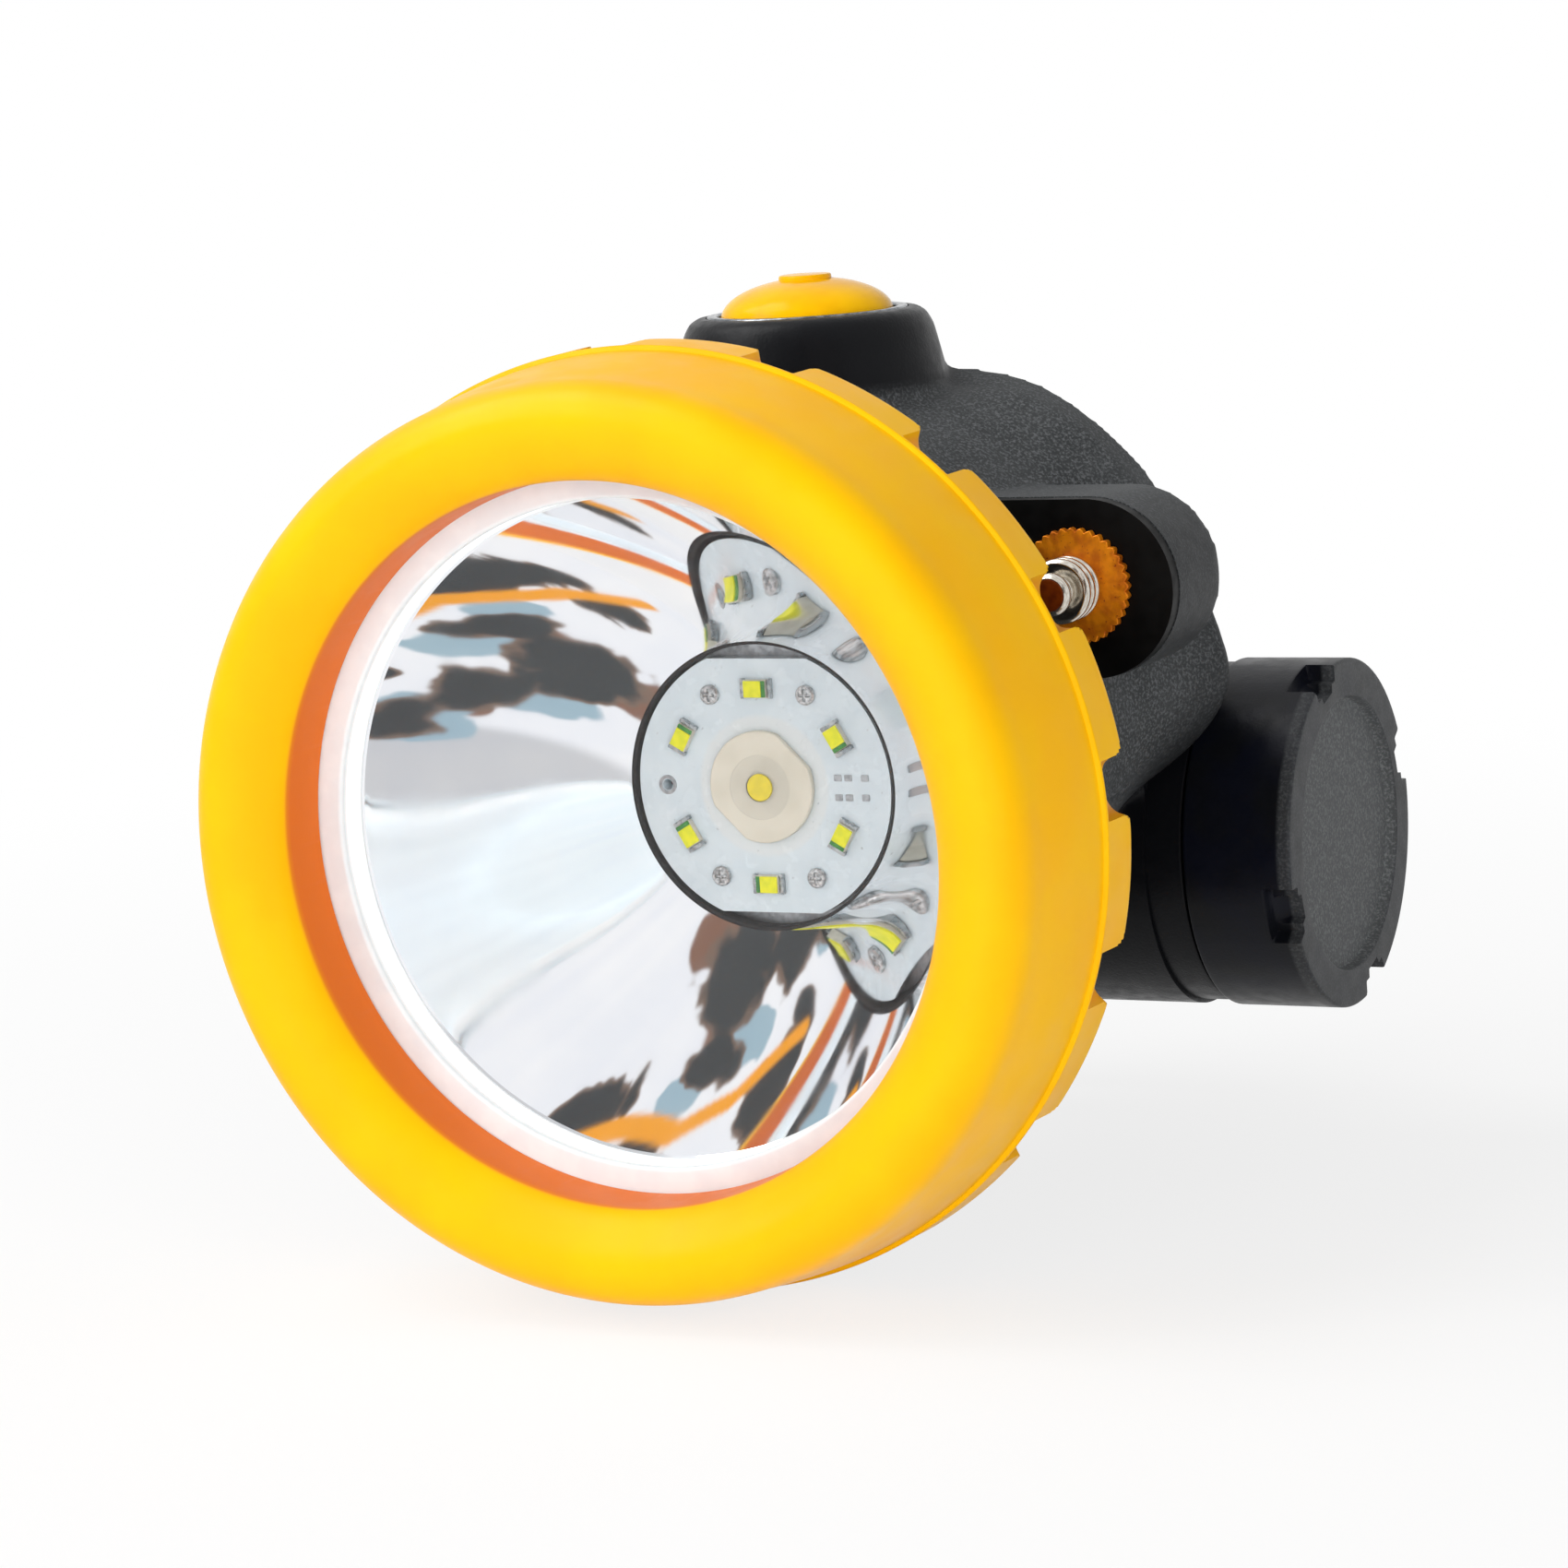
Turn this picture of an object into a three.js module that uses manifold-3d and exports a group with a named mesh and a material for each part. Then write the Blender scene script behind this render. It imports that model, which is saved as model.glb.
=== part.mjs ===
// A cordless miner's cap lamp, in millimetres, +Z up.
// The beam leaves along -Y, the battery lies crosswise along X behind the lamp body, the button is on top
// and the helmet clip is at the back. Inside this file the lamp is drawn from the middle of its beam
// opening; the exported group then moves the origin to the rear face of the clip's tongue.
import * as THREE from 'three';
import { mergeVertices } from 'three/addons/utils/BufferGeometryUtils.js';
import Module from 'manifold-3d';

// ---- Driving dimensions -------------------------------------------------------------------------

// Bezel: the screwed ring that holds the lens. Depths are counted from the edge of the beam opening.
const OPENING_R = 27.5;
const LIP_DEPTH = 5.2;
const LIP_WIDTH = 7.5;
const CROWN_HEIGHT = 2.9;
const BEZEL_LENGTH = 14.6;
const BEZEL_FLARE = 1.65;
const BEZEL_WALL = 2.9;
const LAND_LENGTH = 4.2;
const LAND_STEP = 0.25;
const NOTCH_COUNT = 16;
const NOTCH_TOP_WIDTH = 4.4;
const NOTCH_FLOOR_WIDTH = 3.2;
const NOTCH_DEPTH = 1.9;
const NOTCH_LENGTH = 4;
const NOTCH_PHASE_DEG = -4.7;

// Lens, its seal and the reflector.
const SEAL_THICKNESS = 0.9;
const SEAL_REACH = 1.9;
const SEAL_SKIRT = 1.3;
const LENS_THICKNESS = 1.6;
const LENS_OVERLAP = 1.2;
const MOUTH_GAP = 0.4;
const REFLECTOR_INSET = 2;
const REFLECTOR_FOCUS = 6.875;
const REFLECTOR_WALL = 1.2;
const FLANGE_INSET = 1.1;
const SEAL_GROOVE_PLACE = 0.45;
const SEAL_SQUEEZE = 0.15;
const THROAT_R = 11.64;
const BEZEL_SEAL_SECTION = 0.75;

// LED board and what lies behind it.
const BOARD_R = 11.1;
const BOARD_FLAT = 10.2;
const BOARD_THICKNESS = 1.4;
const BOARD_SETBACK = 0.4;
const WIRE_HOLE_X = -8.6;
const WIRE_HOLE_R = 0.45;
const MAIN_LED_R = 4.5;
const MAIN_LED_HEIGHT = 0.6;
const MAIN_LED_FLAT = 4.1;
const MAIN_CHIP_R = 1.1;
const MAIN_CHIP_RISE = 0.25;
const MAIN_DOME_R = 2.6;
const MAIN_DOME_SQUASH = 0.6;
const SIDE_LED_COUNT = 6;
const SIDE_LED_CIRCLE = 7.85;
const SIDE_LED_LENGTH = 2.7;
const SIDE_LED_WIDTH = 1.6;
const SIDE_LED_HEIGHT = 0.6;
const WINDOW_START = -0.9;
const WINDOW_END = 0.8;
const WINDOW_MARGIN = 0.1;
const WINDOW_RISE = 0.12;
const BOARD_SCREW_CIRCLE = 8.45;
const BOARD_SCREW_ANGLES_DEG = [30, -30, 150, -150];
const BOARD_SCREW_HEAD_R = 0.8;
const BOARD_SCREW_SHANK_R = 0.5;
const BOARD_SCREW_HEAD_HEIGHT = 0.45;
const BOARD_SCREW_DEPTH = 2.4;
const HEAT_SINK_R = 13.6;
const HEAT_SINK_THICKNESS = 4;
const LEAD_R = 0.6;
const LEAD_OUTSIDE_POST = 1.6;
const LEAD_BOW = 0.8;
const CORE_POST_R = 8;
const CORE_POST_LENGTH = 8.55;
const DRIVER_LEDGE = 2;
const DRIVER_LEDGE_WIDTH = 2.2;
const DRIVER_BOARD_R = 18.6;
const DRIVER_BOARD_THICKNESS = 1.4;
const COIL_R = 2.8;
const COIL_HEIGHT = 3.6;
const CAPACITOR_R = 2;
const CAPACITOR_HEIGHT = 2.6;

// Lamp body. Its rim is the thick edge that the button stands on; the rim's top is cut flat, and its sides
// are drawn in beside the ear.
const NECK_LENGTH = 4.6;
const NECK_STEP = 4.4;
const RIM_OVER_NECK = 0.9;
const RIM_WIDTH = 3.5;
const RIM_AHEAD_OF_TUBE = 13.83;
const RIM_FLAT_FRONT = 4.3;
const RIM_FLAT_REAR = 2.9;
const RIM_CORNER_SHARPNESS = 40;
const RIM_SIDE_INSET = 1.6;
const RIM_SIDE_START_DEG = 48;
const RIM_SIDE_END_DEG = 66;
const DOME_INSET = 1.3;
const DOME_DEPTH = 12;
const SHOULDER_START_DEG = 77;
const SHOULDER_END_DEG = 106;
const BODY_WALL = 2.3;

// Battery tube, cell and screw cap.
const CELL_R = 9.3;
const CELL_LENGTH = 65.2;
const CELL_OFFSET_X = 1.8;
const CELL_TERMINAL_R = 3;
const CELL_TERMINAL_RISE = 1;
const CELL_EDGE = 0.6;
const TUBE_Z = -8.62;
const TUBE_FRONT_WALL = 1.5;
const TUBE_END_WALL = 3.5;
const SPIGOT_WALL = 2.76;
const SPRING_SPACE = 3.7;
const CELL_SPRING_WIRE_R = 0.4;
const CELL_SPRING_TURNS = 3;
const CELL_SPRING_R = 6.8;
const COLLAR_LENGTH = 3.1;
const COLLAR_INSET = 0.35;
const CAP_LENGTH = 9.05;
const CAP_END_WALL = 2.6;
const CAP_RIM_WIDTH = 3.06;
const CAP_RECESS_DEPTH = 0.9;
const CAP_EDGE = 0.6;
const CAP_CONTACT_THICKNESS = 0.75;
const CAP_SKIRT_WALL = 1.55;
const CAP_NOTCH_ANGLES_DEG = [18, 108, 198, 288];
const CAP_NOTCH_WIDTH = 4.6;
const CAP_NOTCH_LENGTH = 2.4;
const CAP_NOTCH_DEPTH = 1.3;
const CAP_SEAL_SECTION = 0.6;
const CAP_SEAL_SETBACK = 1.5;

// Push button on its turret.
const TURRET_AHEAD_OF_RIM = 2.85;
const TURRET_RISE = 5;
const TURRET_HEIGHT = 12;
const TURRET_R = 10.9;
const TURRET_TOP_R = 10.1;
const TURRET_EDGE = 0.9;
const SWITCH_WELL_DEPTH = 10.8;
const BUTTON_R = 6.95;
const BUTTON_TRAVEL = 1.2;
const BUTTON_RISE = 3;
const BUTTON_SKIRT = 2.6;
const BUTTON_WALL = 1.1;
const BUTTON_SWEEP_DEG = 72;
const PLUNGER_R = 1.6;
const PLUNGER_RISE = 0.4;
const SWITCH_BOARD_THICKNESS = 1.5;
const BUTTON_NUB_R = 2.1;
const BUTTON_NUB_RISE = 0.4;
const BUTTON_SPRING_WIRE_R = 0.3;
const BUTTON_SPRING_TURNS = 5;
const BUTTON_RING_WIDTH = 0.8;
const TACT_SWITCH_SIZE = 5;
const TACT_SWITCH_HEIGHT = 3.4;

// Ear with the charging stud. The pad covers the whole front of the ear.
const EAR_ANGLE_DEG = 61.8;
const EAR_STANDOFF = 4.35;
const EAR_R = 6.95;
const EAR_AHEAD_OF_RIM = 17.5;
const EAR_DEPTH = 10;
const PAD_INSET = 0.08;
const PAD_THICKNESS = 1.2;
const STUD_OFFSET_X = -0.9;
const STUD_OFFSET_Z = 0.3;
const STUD_LENGTH = 4.9;
const STUD_HEAD_R = 1.64;
const STUD_HEAD_LENGTH = 1;
const STUD_NECK_R = 1.15;
const STUD_NECK_LENGTH = 0.9;
const STUD_RING_R = 2.5;
const STUD_RING_PITCH = 0.9;
const STUD_SHANK_R = 1.9;
const STUD_RING_EDGE = 0.35;
const STUD_SHANK_STOP = 0.5;
const BUSH_STOP = 1.8;
const BUSH_WALL = 0.9;
const WASHER_R = 4.5;
const WASHER_THICKNESS = 0.7;
const WASHER_TEETH = 36;
const TOOTH_DEPTH = 0.28;

// Helmet clip.
const CLIP_WIDTH = 22;
const CLIP_THICKNESS = 1.5;
const CLIP_GAP = 5.6;
const CLIP_BASE_HEIGHT = 21;
const CLIP_TONGUE_LENGTH = 30;
const CLIP_PAD_RISE = 1;
const CLIP_CORNER_R = 5;
const RIVET_SPACING = 11;
const RIVET_HEAD_R = 2.8;
const RIVET_SHANK_R = 1.5;
const RIVET_DEPTH = 4.1;
const RIVET_HEAD_RISE = 0.6;

// Clearances: flat faces that rest on each other, parts soldered or pressed on, holes round shanks, round
// fits, and screw threads drawn as plain cylinders. A cutting shape reaches past the face that it cuts.
const SEAT_GAP = 0.1;
const SOLDER_GAP = 0.05;
const HOLE_GAP = 0.1;
const FIT_GAP = 0.25;
const THREAD_GAP = 0.35;
const OVERCUT = 1;

// Facets round a large circle, the battery tube, the turret, a large circle inside the lamp, a middling
// one and a small one, then round the stud, a screw, a small hole, a seal's section and a spring's wire.
// A seal has as many facets along it as the groove it lies in.
const ROUND = 42;
const TUBE_ROUND = 36;
const TURRET_ROUND = 30;
const INNER = 26;
const MIDDLE = 22;
const FINE = 12;
const STUD_ROUND = 14;
const SCREW_ROUND = 10;
const HOLE_ROUND = 8;
const SEAL_ROUND = 6;
const WIRE_ROUND = 5;

// ---- Places worked out from the driving dimensions ----------------------------------------------

const bezelNoseR = OPENING_R + LIP_WIDTH;
const bezelRimR = bezelNoseR + BEZEL_FLARE;
const bezelBoreR = bezelRimR - BEZEL_WALL;
const neckR = bezelBoreR - THREAD_GAP;

const sealFrontY = LIP_DEPTH + SEAT_GAP;
const lensFrontY = sealFrontY + SEAL_THICKNESS + SEAT_GAP;
const lensR = OPENING_R + LENS_OVERLAP;
const sealPocketR = lensR + SEAL_SKIRT + 2 * FIT_GAP;
const mouthY = lensFrontY + LENS_THICKNESS + MOUTH_GAP;
const mouthR = OPENING_R - REFLECTOR_INSET;
const reflectorVertexY = mouthY + mouthR ** 2 / (4 * REFLECTOR_FOCUS);
const throatY = reflectorVertexY - THROAT_R ** 2 / (4 * REFLECTOR_FOCUS);
const neckFrontY = mouthY + REFLECTOR_WALL + SEAT_GAP;
const neckRearY = neckFrontY + NECK_LENGTH;

const boardFrontY = throatY + BOARD_SETBACK;
const boardRearY = boardFrontY + BOARD_THICKNESS;
const heatSinkFrontY = boardRearY + SEAT_GAP;
const heatSinkRearY = heatSinkFrontY + HEAT_SINK_THICKNESS;
const corePostFrontY = heatSinkRearY + SEAT_GAP;
const cavityRearY = corePostFrontY + CORE_POST_LENGTH;
const driverRearY = cavityRearY - DRIVER_LEDGE;
const driverFrontY = driverRearY - DRIVER_BOARD_THICKNESS;
const leadOffset = CORE_POST_R + LEAD_OUTSIDE_POST;

const boreR = CELL_R + THREAD_GAP - SOLDER_GAP;
const spigotR = boreR + SPIGOT_WALL;
const capBoreR = spigotR + THREAD_GAP;
const tubeR = capBoreR + CAP_SKIRT_WALL;
const tubeY = cavityRearY + TUBE_FRONT_WALL + tubeR;
const cellLeftX = CELL_OFFSET_X - CELL_LENGTH / 2;
const cellRightX = CELL_OFFSET_X + CELL_LENGTH / 2;
const boreLeftX = cellLeftX - SPRING_SPACE;
const tubeLeftX = boreLeftX - TUBE_END_WALL;
const capInnerEndX = cellRightX + CAP_CONTACT_THICKNESS + 2 * SEAT_GAP;
const capEndX = capInnerEndX + CAP_END_WALL;
const capMouthX = capEndX - CAP_LENGTH;
const collarRightX = capMouthX - FIT_GAP;
const tubeRightX = collarRightX - COLLAR_LENGTH;
const capSealX = collarRightX + CAP_SEAL_SETBACK;

const waistR = neckR - NECK_STEP;
const rimR = neckR + RIM_OVER_NECK;
const rimFrontY = tubeY - RIM_AHEAD_OF_TUBE;
const rimRearY = rimFrontY + RIM_WIDTH;
const domeRearY = rimRearY + DOME_DEPTH;
const domeR = rimR - DOME_INSET;
const rimTopFrontZ = rimR - RIM_FLAT_FRONT;
const rimTopRearZ = rimR - RIM_FLAT_REAR;

const turretY = rimFrontY - TURRET_AHEAD_OF_RIM;
const turretTopZ = rimTopRearZ + TURRET_RISE;
const turretBoreR = BUTTON_R + THREAD_GAP;
const turretFloorZ = turretTopZ - SWITCH_WELL_DEPTH;
const switchBoardTopZ = turretFloorZ + SWITCH_BOARD_THICKNESS;
const plungerTopZ = switchBoardTopZ + TACT_SWITCH_HEIGHT + PLUNGER_RISE;

const DEG = Math.PI / 180;
const earDistance = waistR + EAR_STANDOFF;
const earX = earDistance * Math.sin(EAR_ANGLE_DEG * DEG);
const earZ = earDistance * Math.cos(EAR_ANGLE_DEG * DEG);
const earFrontY = rimFrontY - EAR_AHEAD_OF_RIM;
const earRearY = earFrontY + EAR_DEPTH;
const padRearY = earFrontY + PAD_THICKNESS;
const studX = earX + STUD_OFFSET_X;
const studZ = earZ + STUD_OFFSET_Z;
const washerFrontY = earFrontY - WASHER_THICKNESS - SEAT_GAP;
const studTipY = washerFrontY - STUD_LENGTH;
const bushR = STUD_SHANK_R + FIT_GAP + BUSH_WALL;
const bushRearY = earRearY - BUSH_STOP;
const shankHoleR = STUD_SHANK_R + 1.5 * HOLE_GAP;

const clipPadY = tubeY + tubeR + CLIP_PAD_RISE;
const clipBaseY = clipPadY + SEAT_GAP;
const clipTongueY = clipBaseY + CLIP_THICKNESS + CLIP_GAP;
const clipRearY = clipTongueY + CLIP_THICKNESS;
const clipBendZ = TUBE_Z + CLIP_BASE_HEIGHT / 2;
const tongueMiddleZ = clipBendZ - CLIP_TONGUE_LENGTH / 2;

// ---- Finishes -------------------------------------------------------------------------------------

function finish(color, roughness, metalness = 0) {
  return new THREE.MeshStandardMaterial({ color, roughness, metalness });
}

const yellowPlastic = finish(0xfdbd08, 0.45);
const blackPlastic = finish(0x2c2d2e, 0.7);
const satinBlack = finish(0x17181c, 0.4);
const whiteRubber = finish(0xeeeef2, 0.6);
const blackRubber = finish(0x111111, 0.85);
const clearGlass = finish(0xe8f1f4, 0.05);
const mirrorChrome = finish(0xe6e6e6, 0.05, 1);
const whiteBoard = finish(0xccdade, 0.4);
const greenBoard = finish(0x2b5a3c, 0.55);
const emitterWhite = finish(0xd7d4c1, 0.5);
const phosphor = finish(0xfff000, 0.6);
const nickel = finish(0xc9c4bb, 0.2, 1);
const brass = finish(0xcc7211, 0.45, 0.9);
const aluminium = finish(0xb4b8bb, 0.4, 1);
const springSteel = finish(0x9a9ea2, 0.3, 1);
const clipSteel = finish(0xb9bbbd, 0.3, 1);
const cellWrap = finish(0x2a5f9e, 0.45);
const copperWire = finish(0x9c1f1a, 0.5);

// ---- Turning, extruding and joining ---------------------------------------------------------------

const wasm = await Module();
wasm.setup();

// A closed three.js geometry as a solid that can be joined and cut.
function solid(geometry) {
  const bare = geometry.index ? geometry.toNonIndexed() : geometry.clone();
  bare.deleteAttribute('normal');
  bare.deleteAttribute('uv');
  const merged = mergeVertices(bare, 1e-4);
  const corners = [];
  for (let i = 0; i < merged.index.count; i += 3) {
    const [a, b, c] = [0, 1, 2].map((k) => merged.index.getX(i + k));
    if (a !== b && b !== c && c !== a) corners.push(a, b, c);
  }
  return new wasm.Manifold(new wasm.Mesh({
    numProp: 3,
    vertProperties: new Float32Array(merged.attributes.position.array),
    triVerts: new Uint32Array(corners),
  }));
}

// A solid back as a mesh with its own name and finish.
function piece(name, shape, material) {
  const result = shape.getMesh();
  const geometry = new THREE.BufferGeometry();
  geometry.setAttribute('position', new THREE.BufferAttribute(result.vertProperties, 3));
  geometry.setIndex(new THREE.BufferAttribute(result.triVerts, 1));
  geometry.computeVertexNormals();
  const mesh = new THREE.Mesh(geometry, material);
  mesh.name = name;
  return mesh;
}

// The geometry of a closed [radius, height] profile turned about Y.
function turnedGeometry(profile, segments) {
  const points = profile.map(([r, h]) => new THREE.Vector2(r, h));
  if (THREE.ShapeUtils.area(points) < 0) points.reverse();
  points.push(points[0].clone());
  return new THREE.LatheGeometry(points, segments);
}

// Turned about the beam axis, or a line along Y through (x, z); the profile's second number is the depth.
function alongY(profile, segments = ROUND, x = 0, z = 0) {
  return solid(turnedGeometry(profile, segments).translate(x, 0, z));
}

// Turned about a line along X through (y, z); the profile's second number is X.
function alongX(profile, segments = MIDDLE, y = tubeY, z = TUBE_Z) {
  return solid(turnedGeometry(profile, segments).rotateZ(-Math.PI / 2).translate(0, y, z));
}

// Turned about a line along Z through (x, y); the profile's second number is the height.
function alongZ(profile, segments = MIDDLE, x = 0, y = turretY) {
  return solid(turnedGeometry(profile, segments).rotateX(Math.PI / 2).translate(x, y, 0));
}

// The profile of a plain disc, or of a flat ring when it has an inner radius.
function disc(radius, from, to, inner = 0) {
  return [[inner, from], [radius, from], [radius, to], [inner, to]];
}

// The profile of a round-section ring.
function torusProfile(middleR, at, sectionR) {
  return Array.from({ length: SEAL_ROUND }, (_, i) => {
    const angle = (i / SEAL_ROUND) * 2 * Math.PI;
    return [middleR + sectionR * Math.cos(angle), at + sectionR * Math.sin(angle)];
  });
}

// An outline in X and Z, pushed back along Y.
function pushedBack(outline, fromY, toY) {
  const geometry = new THREE.ExtrudeGeometry(outline, {
    depth: toY - fromY, bevelEnabled: false, curveSegments: FINE,
  });
  return solid(geometry.rotateX(Math.PI / 2).translate(0, toY, 0));
}

function box(fromX, toX, fromY, toY, fromZ, toZ) {
  const geometry = new THREE.BoxGeometry(toX - fromX, toY - fromY, toZ - fromZ);
  return solid(geometry.translate((fromX + toX) / 2, (fromY + toY) / 2, (fromZ + toZ) / 2));
}

// A round wire of the given radius through a list of points.
function wire(points, radius, sides, steps) {
  const section = new THREE.Shape();
  for (let i = 0; i < sides; i += 1) {
    const angle = (i / sides) * 2 * Math.PI;
    section[i ? 'lineTo' : 'moveTo'](radius * Math.cos(angle), radius * Math.sin(angle));
  }
  const path = new THREE.CatmullRomCurve3(points.map((p) => new THREE.Vector3(...p)));
  return solid(new THREE.ExtrudeGeometry(section, { steps, bevelEnabled: false, extrudePath: path }));
}

function smoothStep(from, to, value) {
  const t = Math.min(Math.max((value - from) / (to - from), 0), 1);
  return t * t * (3 - 2 * t);
}

// ---- Bezel, lens and reflector --------------------------------------------------------------------

// The front face rises from the opening's edge in a soft crown and rolls over into the flared side.
function bezelProfile() {
  const crown = new THREE.CubicBezierCurve(
    new THREE.Vector2(OPENING_R, 0),
    new THREE.Vector2(OPENING_R + 0.35 * LIP_WIDTH, -1.25 * CROWN_HEIGHT),
    new THREE.Vector2(bezelNoseR - 0.15, -1.35 * CROWN_HEIGHT),
    new THREE.Vector2(bezelNoseR + 0.05, 0.4 * CROWN_HEIGHT),
  );
  const landFrontY = BEZEL_LENGTH - LAND_LENGTH;
  return [
    ...crown.getPoints(5).map((p) => [p.x, p.y]),
    [bezelRimR - LAND_STEP - 0.3, landFrontY - 0.3],
    [bezelRimR - 0.1, landFrontY],
    [bezelRimR, BEZEL_LENGTH - 0.5],
    [bezelRimR - 0.4, BEZEL_LENGTH],
    [bezelBoreR, BEZEL_LENGTH],
    [bezelBoreR, mouthY - FIT_GAP],
    [sealPocketR, mouthY - FIT_GAP],
    [sealPocketR, LIP_DEPTH],
    [OPENING_R, LIP_DEPTH],
  ];
}

// One grip notch: a slot with sloping sides, open to the rear, cut from outside at the top of the ring.
function gripNotch() {
  const floorZ = bezelRimR - NOTCH_DEPTH;
  const outline = new THREE.Shape([
    new THREE.Vector2(-NOTCH_FLOOR_WIDTH / 2, floorZ),
    new THREE.Vector2(NOTCH_FLOOR_WIDTH / 2, floorZ),
    new THREE.Vector2(NOTCH_TOP_WIDTH / 2, bezelRimR + 0.4),
    new THREE.Vector2(-NOTCH_TOP_WIDTH / 2, bezelRimR + 0.4),
  ]);
  return pushedBack(outline, BEZEL_LENGTH - NOTCH_LENGTH, BEZEL_LENGTH + OVERCUT);
}

function bezelRing() {
  let ring = alongY(bezelProfile());
  const notch = gripNotch();
  for (let i = 0; i < NOTCH_COUNT; i += 1) {
    ring = ring.subtract(notch.rotate([0, NOTCH_PHASE_DEG + (i * 360) / NOTCH_COUNT, 0]));
  }
  return piece('bezel_ring', ring, yellowPlastic);
}

function lensSeal() {
  const skirtR = lensR + FIT_GAP;
  return piece('lens_seal', alongY([
    [OPENING_R - SEAL_REACH, sealFrontY],
    [skirtR + SEAL_SKIRT, sealFrontY],
    [skirtR + SEAL_SKIRT, mouthY - SEAT_GAP],
    [skirtR, mouthY - SEAT_GAP],
    [skirtR, sealFrontY + SEAL_THICKNESS],
    [OPENING_R - SEAL_REACH, sealFrontY + SEAL_THICKNESS],
  ]), whiteRubber);
}

function frontLens() {
  return piece('front_lens', alongY(disc(lensR, lensFrontY, lensFrontY + LENS_THICKNESS)), clearGlass);
}

function bezelSeal() {
  const profile = torusProfile(neckR - BEZEL_SEAL_SECTION + SEAL_SQUEEZE, sealGrooveY(), BEZEL_SEAL_SECTION);
  return piece('bezel_seal', alongY(profile, ROUND), blackRubber);
}

function sealGrooveY() {
  return neckFrontY + SEAL_GROOVE_PLACE * NECK_LENGTH;
}

// Radius of the reflecting surface at a depth: a parabola whose focus is at the main emitter.
function mirrorR(y) {
  return Math.sqrt(4 * REFLECTOR_FOCUS * (reflectorVertexY - y));
}

// Depths from the throat to the mouth at which the mirror's radius grows by equal steps.
function mirrorDepths(steps) {
  return Array.from({ length: steps + 1 }, (_, i) => {
    const radius = THROAT_R + ((mouthR - THROAT_R) * i) / steps;
    return reflectorVertexY - radius ** 2 / (4 * REFLECTOR_FOCUS);
  });
}

function reflector() {
  const inside = mirrorDepths(5).map((y) => [mirrorR(y), y]);
  const outside = mirrorDepths(3).slice(0, -1).map((y) => [mirrorR(y) + REFLECTOR_WALL, y]).reverse();
  const flangeR = neckR - FLANGE_INSET;
  return piece('reflector', alongY([
    ...inside,
    [flangeR, mouthY],
    [flangeR, mouthY + REFLECTOR_WALL],
    [mirrorR(mouthY + REFLECTOR_WALL) + REFLECTOR_WALL, mouthY + REFLECTOR_WALL],
    ...outside,
  ]), mirrorChrome);
}

// ---- LED board, heat sink and driver --------------------------------------------------------------

function boardPlace(circle, angleDeg) {
  return [circle * Math.sin(angleDeg * DEG), circle * Math.cos(angleDeg * DEG)];
}

// A disc outline with its top and bottom cut flat.
function flattedDisc(radius, flat) {
  const corner = Math.acos(flat / radius);
  const outline = new THREE.Shape();
  outline.absarc(0, 0, radius, -Math.PI / 2 + corner, Math.PI / 2 - corner, false);
  outline.absarc(0, 0, radius, Math.PI / 2 + corner, 1.5 * Math.PI - corner, false);
  return outline;
}

function roundHole(x, z, radius, sides = HOLE_ROUND) {
  return new THREE.Path(Array.from({ length: sides }, (_, i) => {
    const angle = (i / sides) * 2 * Math.PI;
    return new THREE.Vector2(x + radius * Math.cos(angle), z + radius * Math.sin(angle));
  }));
}

function throatRing() {
  const profile = disc(HEAT_SINK_R, throatY + SEAT_GAP, heatSinkFrontY - SEAT_GAP, BOARD_R + FIT_GAP);
  return piece('throat_ring', alongY(profile, INNER), blackRubber);
}

function ledBoard() {
  const outline = flattedDisc(BOARD_R, BOARD_FLAT);
  for (const angle of BOARD_SCREW_ANGLES_DEG) {
    const [x, z] = boardPlace(BOARD_SCREW_CIRCLE, angle);
    outline.holes.push(roundHole(x, z, BOARD_SCREW_SHANK_R + HOLE_GAP));
  }
  outline.holes.push(roundHole(WIRE_HOLE_X, 0, WIRE_HOLE_R));
  return piece('led_board', pushedBack(outline, boardFrontY, boardRearY), whiteBoard);
}

function mainLed() {
  const rearY = boardFrontY - SOLDER_GAP;
  const frontY = rearY - MAIN_LED_HEIGHT;
  const flats = box(
    -MAIN_LED_R, MAIN_LED_R,
    frontY - OVERCUT, rearY + OVERCUT,
    -MAIN_LED_FLAT, MAIN_LED_FLAT,
  );
  const body = alongY(disc(MAIN_LED_R, frontY, rearY), MIDDLE).intersect(flats.rotate([0, 45, 0]));
  const chipRearY = frontY - SOLDER_GAP;
  const chipFrontY = frontY - MAIN_CHIP_RISE;
  const chip = alongY(disc(MAIN_CHIP_R, chipFrontY, chipRearY), FINE);
  const domeSteps = 4;
  const outer = Array.from({ length: domeSteps + 1 }, (_, i) => {
    const angle = (i / domeSteps) * 90 * DEG;
    return [MAIN_DOME_R * Math.cos(angle), chipRearY - MAIN_DOME_SQUASH * MAIN_DOME_R * Math.sin(angle)];
  });
  const hollowR = MAIN_CHIP_R + FIT_GAP;
  const dome = alongY([
    [hollowR, chipRearY],
    ...outer,
    [0, chipFrontY - SEAT_GAP],
    [hollowR, chipFrontY - SEAT_GAP],
  ], MIDDLE);
  return [
    piece('main_led_body', body, emitterWhite),
    piece('main_led_chip', chip, phosphor),
    piece('main_led_dome', dome, clearGlass),
  ];
}

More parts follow.
